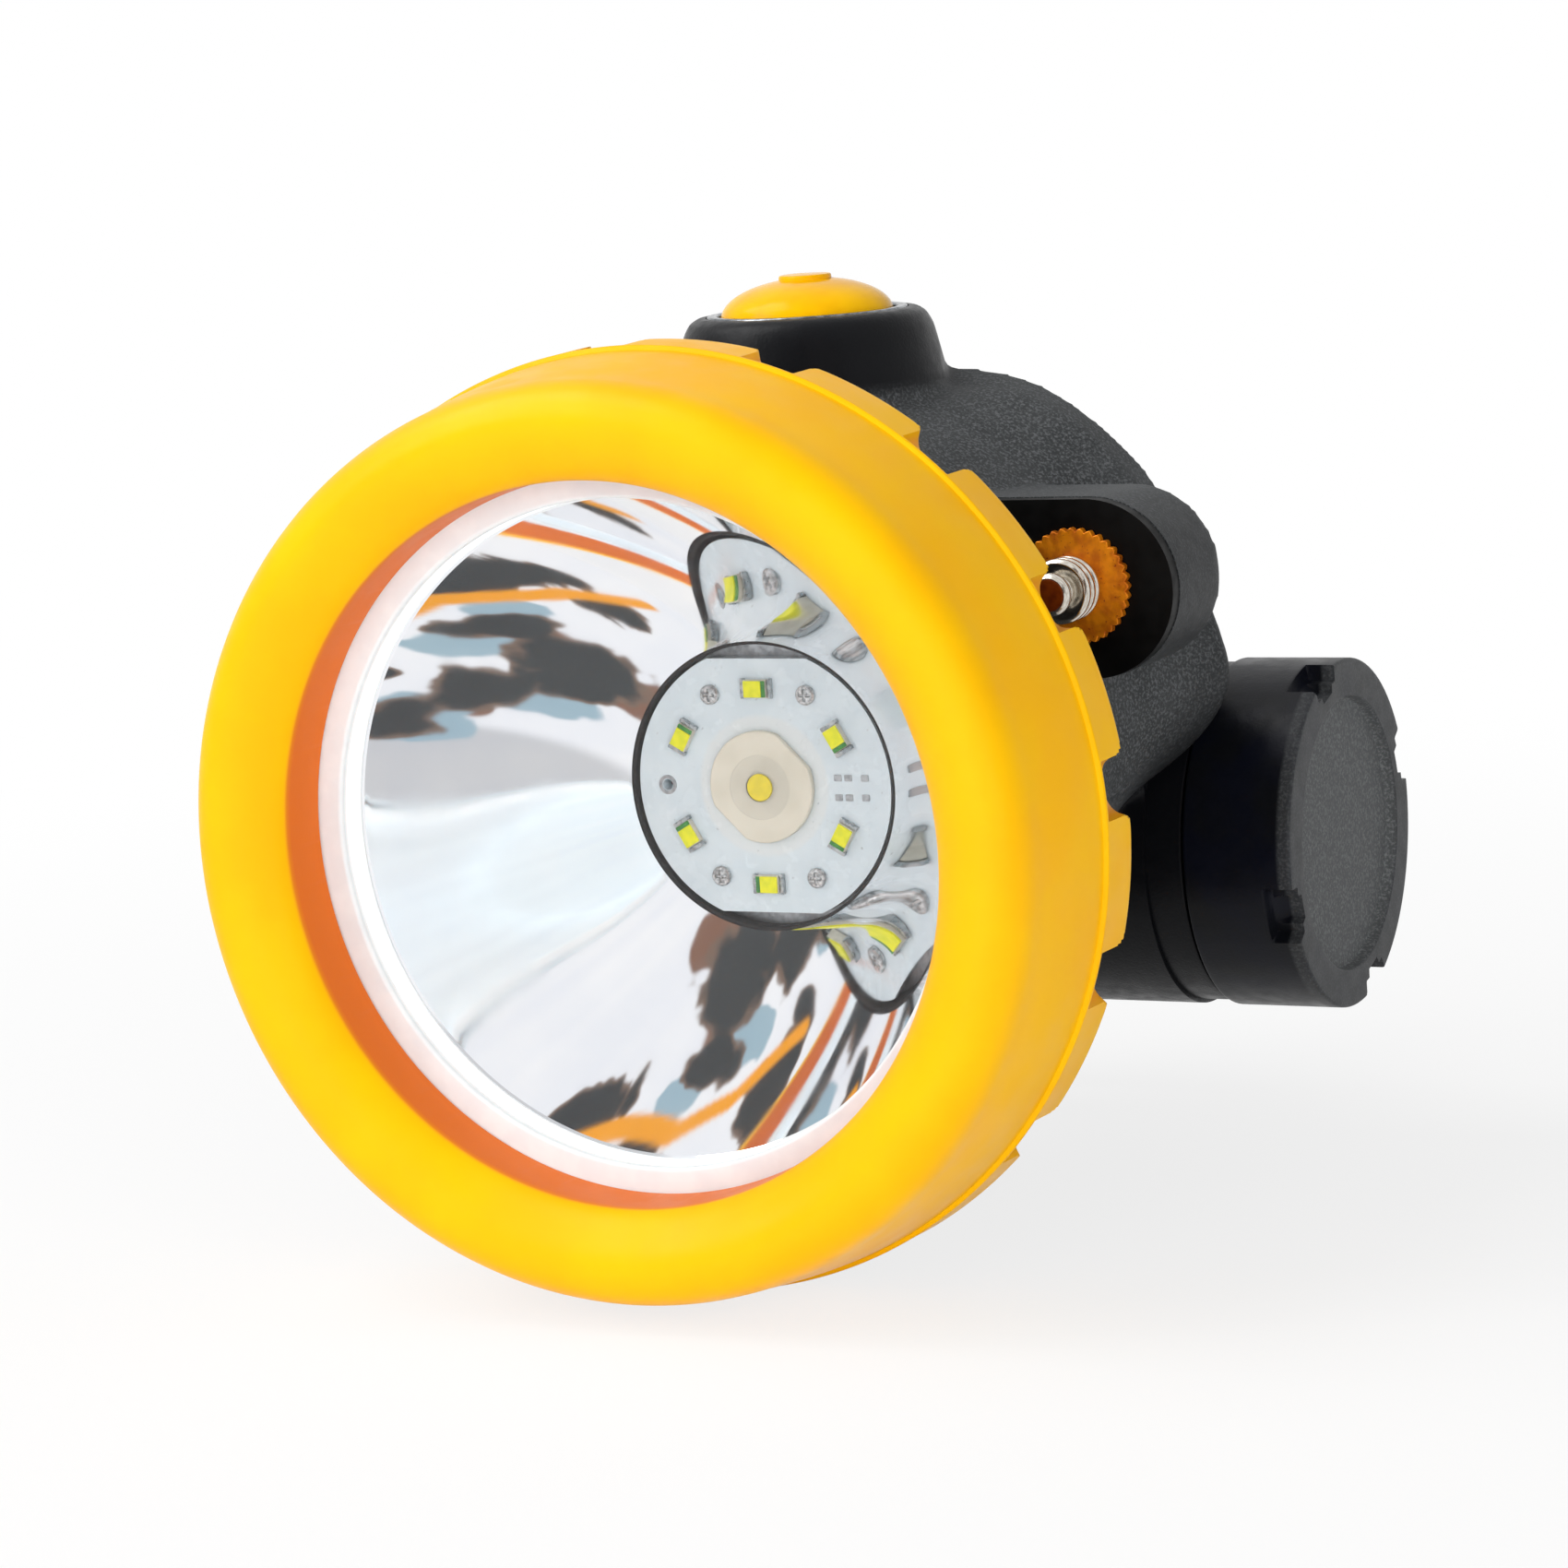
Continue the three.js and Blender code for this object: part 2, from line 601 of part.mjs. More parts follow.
// A small surface-mounted LED: a body lying along the circle it sits on, with a raised phosphor window.
function sideLeds() {
  const rearY = boardFrontY - SOLDER_GAP;
  const frontY = rearY - SIDE_LED_HEIGHT;
  const [halfLength, halfWidth] = [SIDE_LED_LENGTH / 2, SIDE_LED_WIDTH / 2];
  const body = box(-halfLength, halfLength, frontY, rearY, -halfWidth, halfWidth);
  const halfWindow = halfWidth - WINDOW_MARGIN;
  const window = box(WINDOW_START, WINDOW_END, frontY - WINDOW_RISE, rearY, -halfWindow, halfWindow);
  const led = body.add(window).translate([0, 0, SIDE_LED_CIRCLE]);
  return Array.from({ length: SIDE_LED_COUNT }, (_, i) => {
    const turned = led.rotate([0, (i * 360) / SIDE_LED_COUNT, 0]);
    return piece(`side_led_${i + 1}`, turned, phosphor);
  });
}

function boardScrews() {
  const headRearY = boardFrontY - SOLDER_GAP;
  const tipY = heatSinkFrontY + BOARD_SCREW_DEPTH;
  return BOARD_SCREW_ANGLES_DEG.map((angle, i) => {
    const [x, z] = boardPlace(BOARD_SCREW_CIRCLE, angle);
    const profile = [
      [0, headRearY - BOARD_SCREW_HEAD_HEIGHT],
      [0.75 * BOARD_SCREW_HEAD_R, headRearY - 0.9 * BOARD_SCREW_HEAD_HEIGHT],
      [BOARD_SCREW_HEAD_R, headRearY],
      [BOARD_SCREW_SHANK_R, headRearY],
      [BOARD_SCREW_SHANK_R, tipY - 0.8 * BOARD_SCREW_SHANK_R],
      [0, tipY],
    ];
    return piece(`board_screw_${i + 1}`, alongY(profile, SCREW_ROUND, x, z), nickel);
  });
}

function heatSink() {
  let sink = alongY(disc(HEAT_SINK_R, heatSinkFrontY, heatSinkRearY), INNER);
  const screwHoleEndY = heatSinkFrontY + BOARD_SCREW_DEPTH + FIT_GAP;
  for (const angle of BOARD_SCREW_ANGLES_DEG) {
    const [x, z] = boardPlace(BOARD_SCREW_CIRCLE, angle);
    const hole = disc(BOARD_SCREW_SHANK_R + HOLE_GAP, heatSinkFrontY - OVERCUT, screwHoleEndY);
    sink = sink.subtract(alongY(hole, HOLE_ROUND, x, z));
  }
  for (const side of [-1, 1]) {
    const hole = disc(LEAD_R + THREAD_GAP, heatSinkFrontY - OVERCUT, heatSinkRearY + OVERCUT);
    sink = sink.subtract(alongY(hole, HOLE_ROUND, side * leadOffset, 0));
  }
  return piece('heat_sink', sink, aluminium);
}

function leads() {
  return [-1, 1].map((side) => {
    const x = side * leadOffset;
    const points = [
      [x, boardRearY + SEAT_GAP, 0],
      [x, heatSinkRearY, 0],
      [x + side * LEAD_BOW, (heatSinkRearY + driverFrontY) / 2, LEAD_R],
      [x, driverFrontY - LEAD_BOW, 0],
      [x, driverFrontY - FIT_GAP, 0],
    ];
    return piece(side < 0 ? 'negative_lead' : 'positive_lead', wire(points, LEAD_R, 6, 8), copperWire);
  });
}

function driver() {
  const board = alongY(disc(DRIVER_BOARD_R, driverFrontY, driverRearY, CORE_POST_R + FIT_GAP), INNER);
  const middleR = (CORE_POST_R + DRIVER_BOARD_R) / 2;
  const coil = alongY(disc(COIL_R, driverFrontY - COIL_HEIGHT, driverFrontY - SOLDER_GAP), FINE, 0, middleR);
  const can = disc(CAPACITOR_R, driverFrontY - CAPACITOR_HEIGHT, driverFrontY - SOLDER_GAP);
  const capacitor = alongY(can, FINE, 0, -middleR);
  return [
    piece('driver_board', board, greenBoard),
    piece('driver_coil', coil, blackPlastic),
    piece('driver_capacitor', capacitor, aluminium),
  ];
}

// ---- Lamp body --------------------------------------------------------------------------------------

// Upper half: a waist that flares up to the rim, then the rim, then the domed back.
function upperR(y) {
  if (y <= rimFrontY) {
    const flare = Math.max(0, (y - neckRearY) / (rimFrontY - neckRearY));
    return waistR + (rimR - waistR) * flare ** 3;
  }
  const back = Math.min(1, (y - rimRearY) / DOME_DEPTH);
  return domeR * Math.sqrt(1 - back ** 2);
}

// Lower half: one long oval that closes towards the battery tube.
function lowerR(y) {
  const back = (y - neckRearY) / (domeRearY - neckRearY);
  return waistR * Math.sqrt(1 - back ** 2);
}

// Radius of the body's skin at a depth and an angle from the top. The top of the upper half is flat, and
// a high power of both radii rounds the corners between that flat and the round rim.
function skinR(y, angle, upper, topZ) {
  const turn = Math.abs(angle) / DEG;
  const behindRim = smoothStep(rimFrontY, rimRearY, y);
  const side = upper - RIM_SIDE_INSET * behindRim * smoothStep(RIM_SIDE_START_DEG, RIM_SIDE_END_DEG, turn);
  const round = side + (lowerR(y) - side) * smoothStep(SHOULDER_START_DEG, SHOULDER_END_DEG, turn);
  if (turn > 89) return round;
  const flat = topZ / Math.cos(angle);
  return (round ** -RIM_CORNER_SHARPNESS + flat ** -RIM_CORNER_SHARPNESS) ** (-1 / RIM_CORNER_SHARPNESS);
}

// The rings that the skin is drawn through, from the neck to the back of the dome.
function skinRings() {
  const rings = [];
  const addRing = (y, upper, topZ) => rings.push({ y, upper, topZ });
  const flareSteps = 5;
  for (let i = 0; i <= flareSteps; i += 1) {
    const y = neckRearY - 1 + ((rimFrontY - neckRearY + 1) * i) / flareSteps;
    addRing(y, upperR(y), rimTopFrontZ);
  }
  addRing(rimRearY, rimR + 0.1, rimTopRearZ);
  const domeSteps = 4;
  for (let i = 0; i < domeSteps; i += 1) {
    const y = rimRearY + DOME_DEPTH * Math.sin((i / domeSteps) * 90 * DEG);
    addRing(y, upperR(Math.max(y, rimRearY + 1e-6)), rimTopRearZ - DOME_INSET);
  }
  return rings;
}

// The closed skin, grown outwards by a margin where something must keep clear of it.
function bodySkin(margin = 0) {
  const rings = skinRings();
  const positions = [];
  const corners = [];
  for (const { y, upper, topZ } of rings) {
    for (let k = 0; k < ROUND; k += 1) {
      const angle = ((k + 0.5) / ROUND) * 2 * Math.PI - Math.PI;
      const radius = skinR(Math.max(y, neckRearY), angle, upper, topZ) + margin;
      positions.push(radius * Math.sin(angle), y, radius * Math.cos(angle));
    }
  }
  for (let i = 0; i + 1 < rings.length; i += 1) {
    for (let k = 0; k < ROUND; k += 1) {
      const [a, b] = [i * ROUND + k, i * ROUND + ((k + 1) % ROUND)];
      corners.push(a, b, a + ROUND, b, b + ROUND, a + ROUND);
    }
  }
  const last = (rings.length - 1) * ROUND;
  const [front, back] = [positions.length / 3, positions.length / 3 + 1];
  positions.push(0, rings[0].y, 0, 0, rings[rings.length - 1].y, 0);
  for (let k = 0; k < ROUND; k += 1) {
    const next = (k + 1) % ROUND;
    corners.push(front, next, k, back, last + k, last + next);
  }
  const geometry = new THREE.BufferGeometry();
  geometry.setAttribute('position', new THREE.Float32BufferAttribute(positions, 3));
  geometry.setIndex(corners);
  return solid(geometry);
}

// The neck carries the bezel's thread and a groove for its seal.
function neck() {
  const grooveY = sealGrooveY();
  const halfGroove = BEZEL_SEAL_SECTION + SEAL_SQUEEZE;
  const grooveR = neckR - 2 * BEZEL_SEAL_SECTION;
  return alongY([
    [0, neckFrontY],
    [neckR, neckFrontY],
    [neckR, grooveY - halfGroove],
    [grooveR, grooveY - halfGroove],
    [grooveR, grooveY + halfGroove],
    [neckR, grooveY + halfGroove],
    [neckR, neckRearY],
    [waistR - 0.5, neckRearY + 0.8],
    [0, neckRearY + 0.8],
  ]);
}

// The ear's outline: a round end with a flat top and bottom that run into the body.
function earOutline(inset = 0) {
  const radius = EAR_R - inset;
  const outline = new THREE.Shape();
  outline.moveTo(earX / 2, earZ + radius);
  outline.lineTo(earX / 2, earZ - radius);
  outline.absarc(earX, earZ, radius, -Math.PI / 2, Math.PI / 2, false);
  return outline;
}

function ear() {
  return pushedBack(earOutline(), padRearY + SEAT_GAP, earRearY);
}

// Room in front of the ear's flat face, where the pad lies.
function padRoom() {
  return pushedBack(earOutline(), earFrontY, padRearY + SEAT_GAP).subtract(bodySkin());
}

function turret() {
  return alongZ([
    [0, turretTopZ - TURRET_HEIGHT],
    [TURRET_R, turretTopZ - TURRET_HEIGHT],
    [TURRET_R, turretTopZ - TURRET_RISE],
    [TURRET_TOP_R, turretTopZ - 1.6 * TURRET_EDGE],
    [TURRET_TOP_R - 0.3 * TURRET_EDGE, turretTopZ - 0.6 * TURRET_EDGE],
    [TURRET_TOP_R - TURRET_EDGE, turretTopZ],
    [0, turretTopZ],
  ], TURRET_ROUND);
}

function turretBore() {
  const ringSeatR = turretBoreR + BUTTON_RING_WIDTH + HOLE_GAP;
  return alongZ([
    [0, turretFloorZ],
    [turretBoreR, turretFloorZ],
    [turretBoreR, turretTopZ - 0.7],
    [ringSeatR, turretTopZ - 0.7],
    [ringSeatR, turretTopZ + OVERCUT],
    [0, turretTopZ + OVERCUT],
  ], INNER);
}

// The battery tube: closed and rounded on the left, a collar and a spigot for the cap on the right.
function batteryTube() {
  return alongX([
    [0, tubeLeftX],
    [tubeR - 1.8, tubeLeftX],
    [tubeR - 0.5, tubeLeftX + 0.5],
    [tubeR, tubeLeftX + 1.8],
    [tubeR, tubeRightX - 0.4],
    [tubeR - COLLAR_INSET, tubeRightX],
    [tubeR - COLLAR_INSET, collarRightX],
    [spigotR, collarRightX],
    [spigotR, capSealX - CAP_SEAL_SECTION - 0.1],
    [spigotR - 2 * CAP_SEAL_SECTION + 0.1, capSealX - CAP_SEAL_SECTION - 0.1],
    [spigotR - 2 * CAP_SEAL_SECTION + 0.1, capSealX + CAP_SEAL_SECTION + 0.1],
    [spigotR, capSealX + CAP_SEAL_SECTION + 0.1],
    [spigotR, cellRightX],
    [0, cellRightX],
  ], TUBE_ROUND);
}

// Room for the reflector, the heat sink and the driver board, with a post that carries the heat sink.
function lampCavity() {
  const room = alongY([
    [0, neckFrontY - OVERCUT],
    [lowerR(neckRearY) - BODY_WALL, neckFrontY - OVERCUT],
    [lowerR(neckRearY) - BODY_WALL, neckRearY],
    [lowerR(boardFrontY) - BODY_WALL, boardFrontY],
    [DRIVER_BOARD_R + FIT_GAP, driverFrontY - 1.5],
    [DRIVER_BOARD_R + FIT_GAP, driverRearY + SEAT_GAP],
    [DRIVER_BOARD_R - DRIVER_LEDGE_WIDTH, driverRearY + SEAT_GAP],
    [DRIVER_BOARD_R - DRIVER_LEDGE_WIDTH, cavityRearY],
    [0, cavityRearY],
  ], INNER);
  return room.subtract(alongY(disc(CORE_POST_R, corePostFrontY, cavityRearY + OVERCUT), MIDDLE));
}

function lampHousing() {
  const capSweep = alongX(disc(tubeR + 0.9, tubeRightX, capEndX + 10), TUBE_ROUND);
  const clipPad = box(
    -CLIP_WIDTH / 2, CLIP_WIDTH / 2,
    tubeY + boreR / 2, clipPadY,
    TUBE_Z - CLIP_BASE_HEIGHT / 2, TUBE_Z + CLIP_BASE_HEIGHT / 2,
  );
  let housing = bodySkin().add(ear()).add(turret()).add(neck());
  housing = housing.subtract(capSweep);
  housing = housing.add(batteryTube()).add(clipPad);
  housing = housing.subtract(lampCavity());
  housing = housing.subtract(turretBore());
  housing = housing.subtract(alongX(disc(boreR, boreLeftX, cellRightX + OVERCUT), INNER));
  housing = housing.subtract(studBore()).subtract(washerSpotFace()).subtract(padRoom());
  for (const z of rivetHeights()) {
    const hole = disc(RIVET_SHANK_R + HOLE_GAP, clipPadY - RIVET_DEPTH - 2 * HOLE_GAP, clipPadY + OVERCUT);
    housing = housing.subtract(alongY(hole, FINE, 0, z));
  }
  return piece('lamp_housing', housing, blackPlastic);
}

// ---- Ear fittings -----------------------------------------------------------------------------------

// The blind bore that the stud's bush sits in.
function studBore() {
  return alongY(disc(bushR + FIT_GAP, padRearY, bushRearY + SEAT_GAP), MIDDLE, studX, studZ);
}

// Room for the washer where its edge comes close to the body.
function washerSpotFace() {
  return alongY(disc(WASHER_R + FIT_GAP, washerFrontY - SEAT_GAP, earFrontY), MIDDLE, studX, studZ);
}

// The stud: a head for the charger's clip, a neck and a stack of rings down to the washer.
function chargingStud() {
  const headRearY = studTipY + STUD_HEAD_LENGTH;
  const profile = [
    [0, studTipY],
    [STUD_HEAD_R - 0.33, studTipY],
    [STUD_HEAD_R, studTipY + 0.3],
    [STUD_HEAD_R, headRearY - 0.2],
    [STUD_NECK_R, headRearY],
    [STUD_NECK_R, headRearY + STUD_NECK_LENGTH],
  ];
  const ringStartY = headRearY + STUD_NECK_LENGTH;
  const baseY = washerFrontY - SEAT_GAP;
  const ringCount = Math.max(1, Math.floor((baseY - ringStartY) / STUD_RING_PITCH));
  for (let i = 0; i < ringCount; i += 1) {
    const y = ringStartY + i * STUD_RING_PITCH;
    profile.push([STUD_RING_R - STUD_RING_EDGE, y], [STUD_RING_R, y + 0.3 * STUD_RING_PITCH]);
    profile.push([STUD_RING_R, y + 0.7 * STUD_RING_PITCH]);
  }
  profile.push(
    [STUD_RING_R - STUD_RING_EDGE, ringStartY + ringCount * STUD_RING_PITCH],
    [STUD_RING_R - STUD_RING_EDGE, baseY],
    [STUD_SHANK_R, baseY],
    [STUD_SHANK_R, bushRearY - STUD_SHANK_STOP],
    [0, bushRearY - STUD_SHANK_STOP],
  );
  return alongY(profile, STUD_ROUND, studX, studZ);
}

function washerOutline() {
  const outline = new THREE.Shape();
  for (let i = 0; i < 2 * WASHER_TEETH; i += 1) {
    const angle = (i / WASHER_TEETH) * Math.PI;
    const radius = i % 2 ? WASHER_R : WASHER_R - TOOTH_DEPTH;
    const place = [studX + radius * Math.cos(angle), studZ + radius * Math.sin(angle)];
    outline[i ? 'lineTo' : 'moveTo'](...place);
  }
  outline.holes.push(roundHole(studX, studZ, shankHoleR, STUD_ROUND));
  return outline;
}

function earFittings() {
  const hole = disc(shankHoleR, earFrontY - OVERCUT, padRearY + OVERCUT);
  const shankHole = alongY(hole, STUD_ROUND, studX, studZ);
  const pad = pushedBack(earOutline(PAD_INSET), earFrontY, padRearY)
    .subtract(bodySkin(0.3))
    .subtract(shankHole);
  const bush = disc(bushR, padRearY + SEAT_GAP, bushRearY, shankHoleR);
  const washer = pushedBack(washerOutline(), washerFrontY, earFrontY - SEAT_GAP);
  return [
    piece('contact_pad', pad, satinBlack),
    piece('charging_stud', chargingStud(), nickel),
    piece('stud_washer', washer, brass),
    piece('stud_bush', alongY(bush, STUD_ROUND, studX, studZ), whiteRubber),
  ];
}

// ---- Push button ------------------------------------------------------------------------------------

function pushButton() {
  const edgeZ = turretTopZ - 0.2;
  const domeTopZ = edgeZ + BUTTON_RISE - 0.2;
  const skirtInnerR = BUTTON_R - BUTTON_WALL;
  const domeSteps = 4;
  const sweep = BUTTON_SWEEP_DEG * DEG;
  const dome = Array.from({ length: domeSteps + 1 }, (_, i) => {
    const angle = (i / domeSteps) * sweep;
    return [BUTTON_R * Math.cos(angle), edgeZ + ((domeTopZ - edgeZ) * Math.sin(angle)) / Math.sin(sweep)];
  });
  const cap = alongZ([
    [0, plungerTopZ + BUTTON_TRAVEL + 0.15],
    [1.5, plungerTopZ + BUTTON_TRAVEL + 0.15],
    [1.5, edgeZ + 0.4],
    [skirtInnerR, edgeZ - 0.6],
    [skirtInnerR, edgeZ - BUTTON_SKIRT],
    [BUTTON_R, edgeZ - BUTTON_SKIRT],
    ...dome,
    [BUTTON_NUB_R, domeTopZ + BUTTON_NUB_RISE],
    [0, domeTopZ + BUTTON_NUB_RISE],
  ], INNER);
  const ring = disc(turretBoreR + BUTTON_RING_WIDTH, turretTopZ - 0.6, turretTopZ + 0.12, turretBoreR);
  return [
    piece('button_cap', cap, yellowPlastic),
    piece('button_ring', alongZ(ring, INNER), nickel),
    piece('button_spring', buttonSpring(switchBoardTopZ + SEAT_GAP, edgeZ - 0.55, skirtInnerR), springSteel),
    ...buttonSwitch(),
  ];
}

// A coil of wire from one height to another, round the switch and inside the button's skirt.
function buttonSpring(fromZ, toZ, skirtInnerR) {
  const coilR = skirtInnerR - BUTTON_SPRING_WIRE_R - FIT_GAP;
  const steps = BUTTON_SPRING_TURNS * 8;
  const points = Array.from({ length: steps + 1 }, (_, i) => {
    const angle = (i / 8) * 2 * Math.PI;
    const z = fromZ + BUTTON_SPRING_WIRE_R + ((toZ - fromZ - 2 * BUTTON_SPRING_WIRE_R) * i) / steps;
    return [coilR * Math.cos(angle), turretY + coilR * Math.sin(angle), z];
  });
  return wire(points, BUTTON_SPRING_WIRE_R, WIRE_ROUND, steps);
}

function buttonSwitch() {
  const half = TACT_SWITCH_SIZE / 2;
  const board = disc(turretBoreR - FIT_GAP, turretFloorZ + SEAT_GAP, switchBoardTopZ - SEAT_GAP / 2);
  const body = box(-half, half, turretY - half, turretY + half, switchBoardTopZ, plungerTopZ - PLUNGER_RISE);
  const plunger = alongZ(disc(PLUNGER_R, switchBoardTopZ + half, plungerTopZ), FINE);
  return [
    piece('switch_board', alongZ(board), greenBoard),
    piece('tact_switch', body.add(plunger), satinBlack),
  ];
}

// ---- Battery and screw cap --------------------------------------------------------------------------

function battery() {
  const cell = alongX([
    [0, cellLeftX],
    [CELL_TERMINAL_R, cellLeftX],
    [CELL_TERMINAL_R, cellLeftX + CELL_TERMINAL_RISE],
    [CELL_R - CELL_EDGE, cellLeftX + CELL_TERMINAL_RISE],
    [CELL_R, cellLeftX + CELL_TERMINAL_RISE + CELL_EDGE],
    [CELL_R, cellRightX - CELL_EDGE],
    [CELL_R - CELL_EDGE, cellRightX],
    [0, cellRightX],
  ], MIDDLE);
  return piece('battery_cell', cell, cellWrap);
}

// A conical spring between the tube's closed end and the cell's terminal.
function batterySpring() {
  const steps = CELL_SPRING_TURNS * 10;
  const fromX = boreLeftX + SEAT_GAP + CELL_SPRING_WIRE_R;
  const toX = cellLeftX - SEAT_GAP - CELL_SPRING_WIRE_R;
  const narrowR = CELL_TERMINAL_R - CELL_SPRING_WIRE_R - FIT_GAP;
  const points = Array.from({ length: steps + 1 }, (_, i) => {
    const angle = (i / steps) * CELL_SPRING_TURNS * 2 * Math.PI;
    const radius = CELL_SPRING_R + ((narrowR - CELL_SPRING_R) * i) / steps;
    return [
      fromX + ((toX - fromX) * i) / steps,
      tubeY + radius * Math.cos(angle),
      TUBE_Z + radius * Math.sin(angle),
    ];
  });
  return piece('battery_spring', wire(points, CELL_SPRING_WIRE_R, WIRE_ROUND, steps), springSteel);
}

function capNotch(angleDeg) {
  const notch = box(
    capEndX - CAP_NOTCH_LENGTH, capEndX + OVERCUT,
    -CAP_NOTCH_WIDTH / 2, CAP_NOTCH_WIDTH / 2,
    tubeR - CAP_NOTCH_DEPTH, tubeR + OVERCUT,
  );
  return notch.rotate([angleDeg, 0, 0]).translate([0, tubeY, TUBE_Z]);
}

function screwCap() {
  const recessR = tubeR - CAP_RIM_WIDTH;
  let cap = alongX([
    [0, capInnerEndX],
    [capBoreR, capInnerEndX],
    [capBoreR, capMouthX],
    [tubeR - 0.2, capMouthX],
    [tubeR, capMouthX + 0.3],
    [tubeR, capEndX - CAP_EDGE],
    [tubeR - CAP_EDGE, capEndX],
    [recessR, capEndX],
    [recessR - 0.2, capEndX - CAP_RECESS_DEPTH],
    [0, capEndX - CAP_RECESS_DEPTH],
  ], TUBE_ROUND);
  for (const angle of CAP_NOTCH_ANGLES_DEG) cap = cap.subtract(capNotch(angle));
  const contact = disc(CELL_R - 1, cellRightX + SEAT_GAP, capInnerEndX - SEAT_GAP);
  const sealProfile = torusProfile(spigotR - CAP_SEAL_SECTION + SEAL_SQUEEZE, capSealX, CAP_SEAL_SECTION);
  return [
    piece('battery_cap', cap, satinBlack),
    piece('cap_contact', alongX(contact, MIDDLE), brass),
    piece('cap_seal', alongX(sealProfile, TUBE_ROUND), blackRubber),
  ];
}

// ---- Helmet clip ------------------------------------------------------------------------------------

function rivetHeights() {
  return [TUBE_Z + RIVET_SPACING / 2, TUBE_Z - RIVET_SPACING / 2];
}

// A steel strip: its base lies on the tube's pad, it folds over at the top and its tongue hangs down
// behind, so that a helmet's bracket goes up into the gap. The front view rounds the tongue's corners.
function clipStrip() {
  const foldR = CLIP_GAP / 2;
  const foldY = clipBaseY + CLIP_THICKNESS + foldR;
  const outerR = foldR + CLIP_THICKNESS;
  const side = new THREE.Shape();
  side.moveTo(clipBaseY, TUBE_Z - CLIP_BASE_HEIGHT / 2);
  side.lineTo(clipBaseY + CLIP_THICKNESS, TUBE_Z - CLIP_BASE_HEIGHT / 2);
  side.lineTo(clipBaseY + CLIP_THICKNESS, clipBendZ);
  side.absarc(foldY, clipBendZ, foldR, Math.PI, 0, true);
  side.lineTo(clipTongueY, clipBendZ - CLIP_TONGUE_LENGTH);
  side.lineTo(clipRearY, clipBendZ - CLIP_TONGUE_LENGTH);
  side.lineTo(clipRearY, clipBendZ);
  side.absarc(foldY, clipBendZ, outerR, 0, Math.PI, false);
  const geometry = new THREE.ExtrudeGeometry(side, {
    depth: CLIP_WIDTH, bevelEnabled: false, curveSegments: HOLE_ROUND,
  });
  geometry.translate(0, 0, -CLIP_WIDTH / 2);
  geometry.applyMatrix4(new THREE.Matrix4().makeBasis(
    new THREE.Vector3(0, 1, 0),
    new THREE.Vector3(0, 0, 1),
    new THREE.Vector3(1, 0, 0),
  ));
  const strip = solid(geometry);
  const corner = CLIP_CORNER_R;
  const half = CLIP_WIDTH / 2;
  const [lowZ, highZ] = [clipBendZ - CLIP_TONGUE_LENGTH, clipBendZ + outerR + OVERCUT];
  const front = new THREE.Shape();
  front.moveTo(-half, highZ);
  front.lineTo(-half, lowZ + corner);
  front.absarc(-half + corner, lowZ + corner, corner, Math.PI, 1.5 * Math.PI, false);
  front.lineTo(half - corner, lowZ);
  front.absarc(half - corner, lowZ + corner, corner, 1.5 * Math.PI, 2 * Math.PI, false);
  front.lineTo(half, highZ);
  return strip.intersect(pushedBack(front, clipBaseY - OVERCUT, clipRearY + OVERCUT));
}

function helmetClip() {
  let strip = clipStrip();
  for (const z of rivetHeights()) {
    const hole = disc(RIVET_SHANK_R + HOLE_GAP, clipBaseY - OVERCUT, clipBaseY + CLIP_THICKNESS + OVERCUT);
    strip = strip.subtract(alongY(hole, FINE, 0, z));
  }
  const rivets = rivetHeights().map((z, i) => {
    const headY = clipBaseY + CLIP_THICKNESS + SOLDER_GAP;
    const profile = [
      [0, clipPadY - RIVET_DEPTH],
      [RIVET_SHANK_R, clipPadY - RIVET_DEPTH],
      [RIVET_SHANK_R, headY],
      [RIVET_HEAD_R, headY],
      [0.8 * RIVET_HEAD_R, headY + 0.75 * RIVET_HEAD_RISE],
      [0, headY + RIVET_HEAD_RISE],
    ];
    return piece(`clip_rivet_${i + 1}`, alongY(profile, FINE, 0, z), nickel);
  });
  return [piece('helmet_clip', strip, clipSteel), ...rivets];
}

// ---- The lamp ---------------------------------------------------------------------------------------

const lamp = new THREE.Group();
lamp.add(
  lampHousing(),
  bezelRing(),
  bezelSeal(),
  lensSeal(),
  frontLens(),
  reflector(),
  throatRing(),
  ledBoard(),
  ...mainLed(),
  ...sideLeds(),
  ...boardScrews(),
  heatSink(),
  ...leads(),
  ...driver(),
  ...pushButton(),
  ...earFittings(),
  battery(),
  batterySpring(),
  ...screwCap(),
  ...helmetClip(),
);

// The origin is the middle of the flat rear face of the clip's tongue.
lamp.position.set(0, -clipRearY, -tongueMiddleZ);

const capLamp = new THREE.Group();
capLamp.add(lamp);

export default capLamp;
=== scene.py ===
"""The looks of a cordless miner's cap lamp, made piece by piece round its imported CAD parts."""

import math

import bmesh
import bpy
import numpy as np
from bpy.props import FloatProperty, FloatVectorProperty, IntProperty, PointerProperty
from mathutils import Matrix, Vector


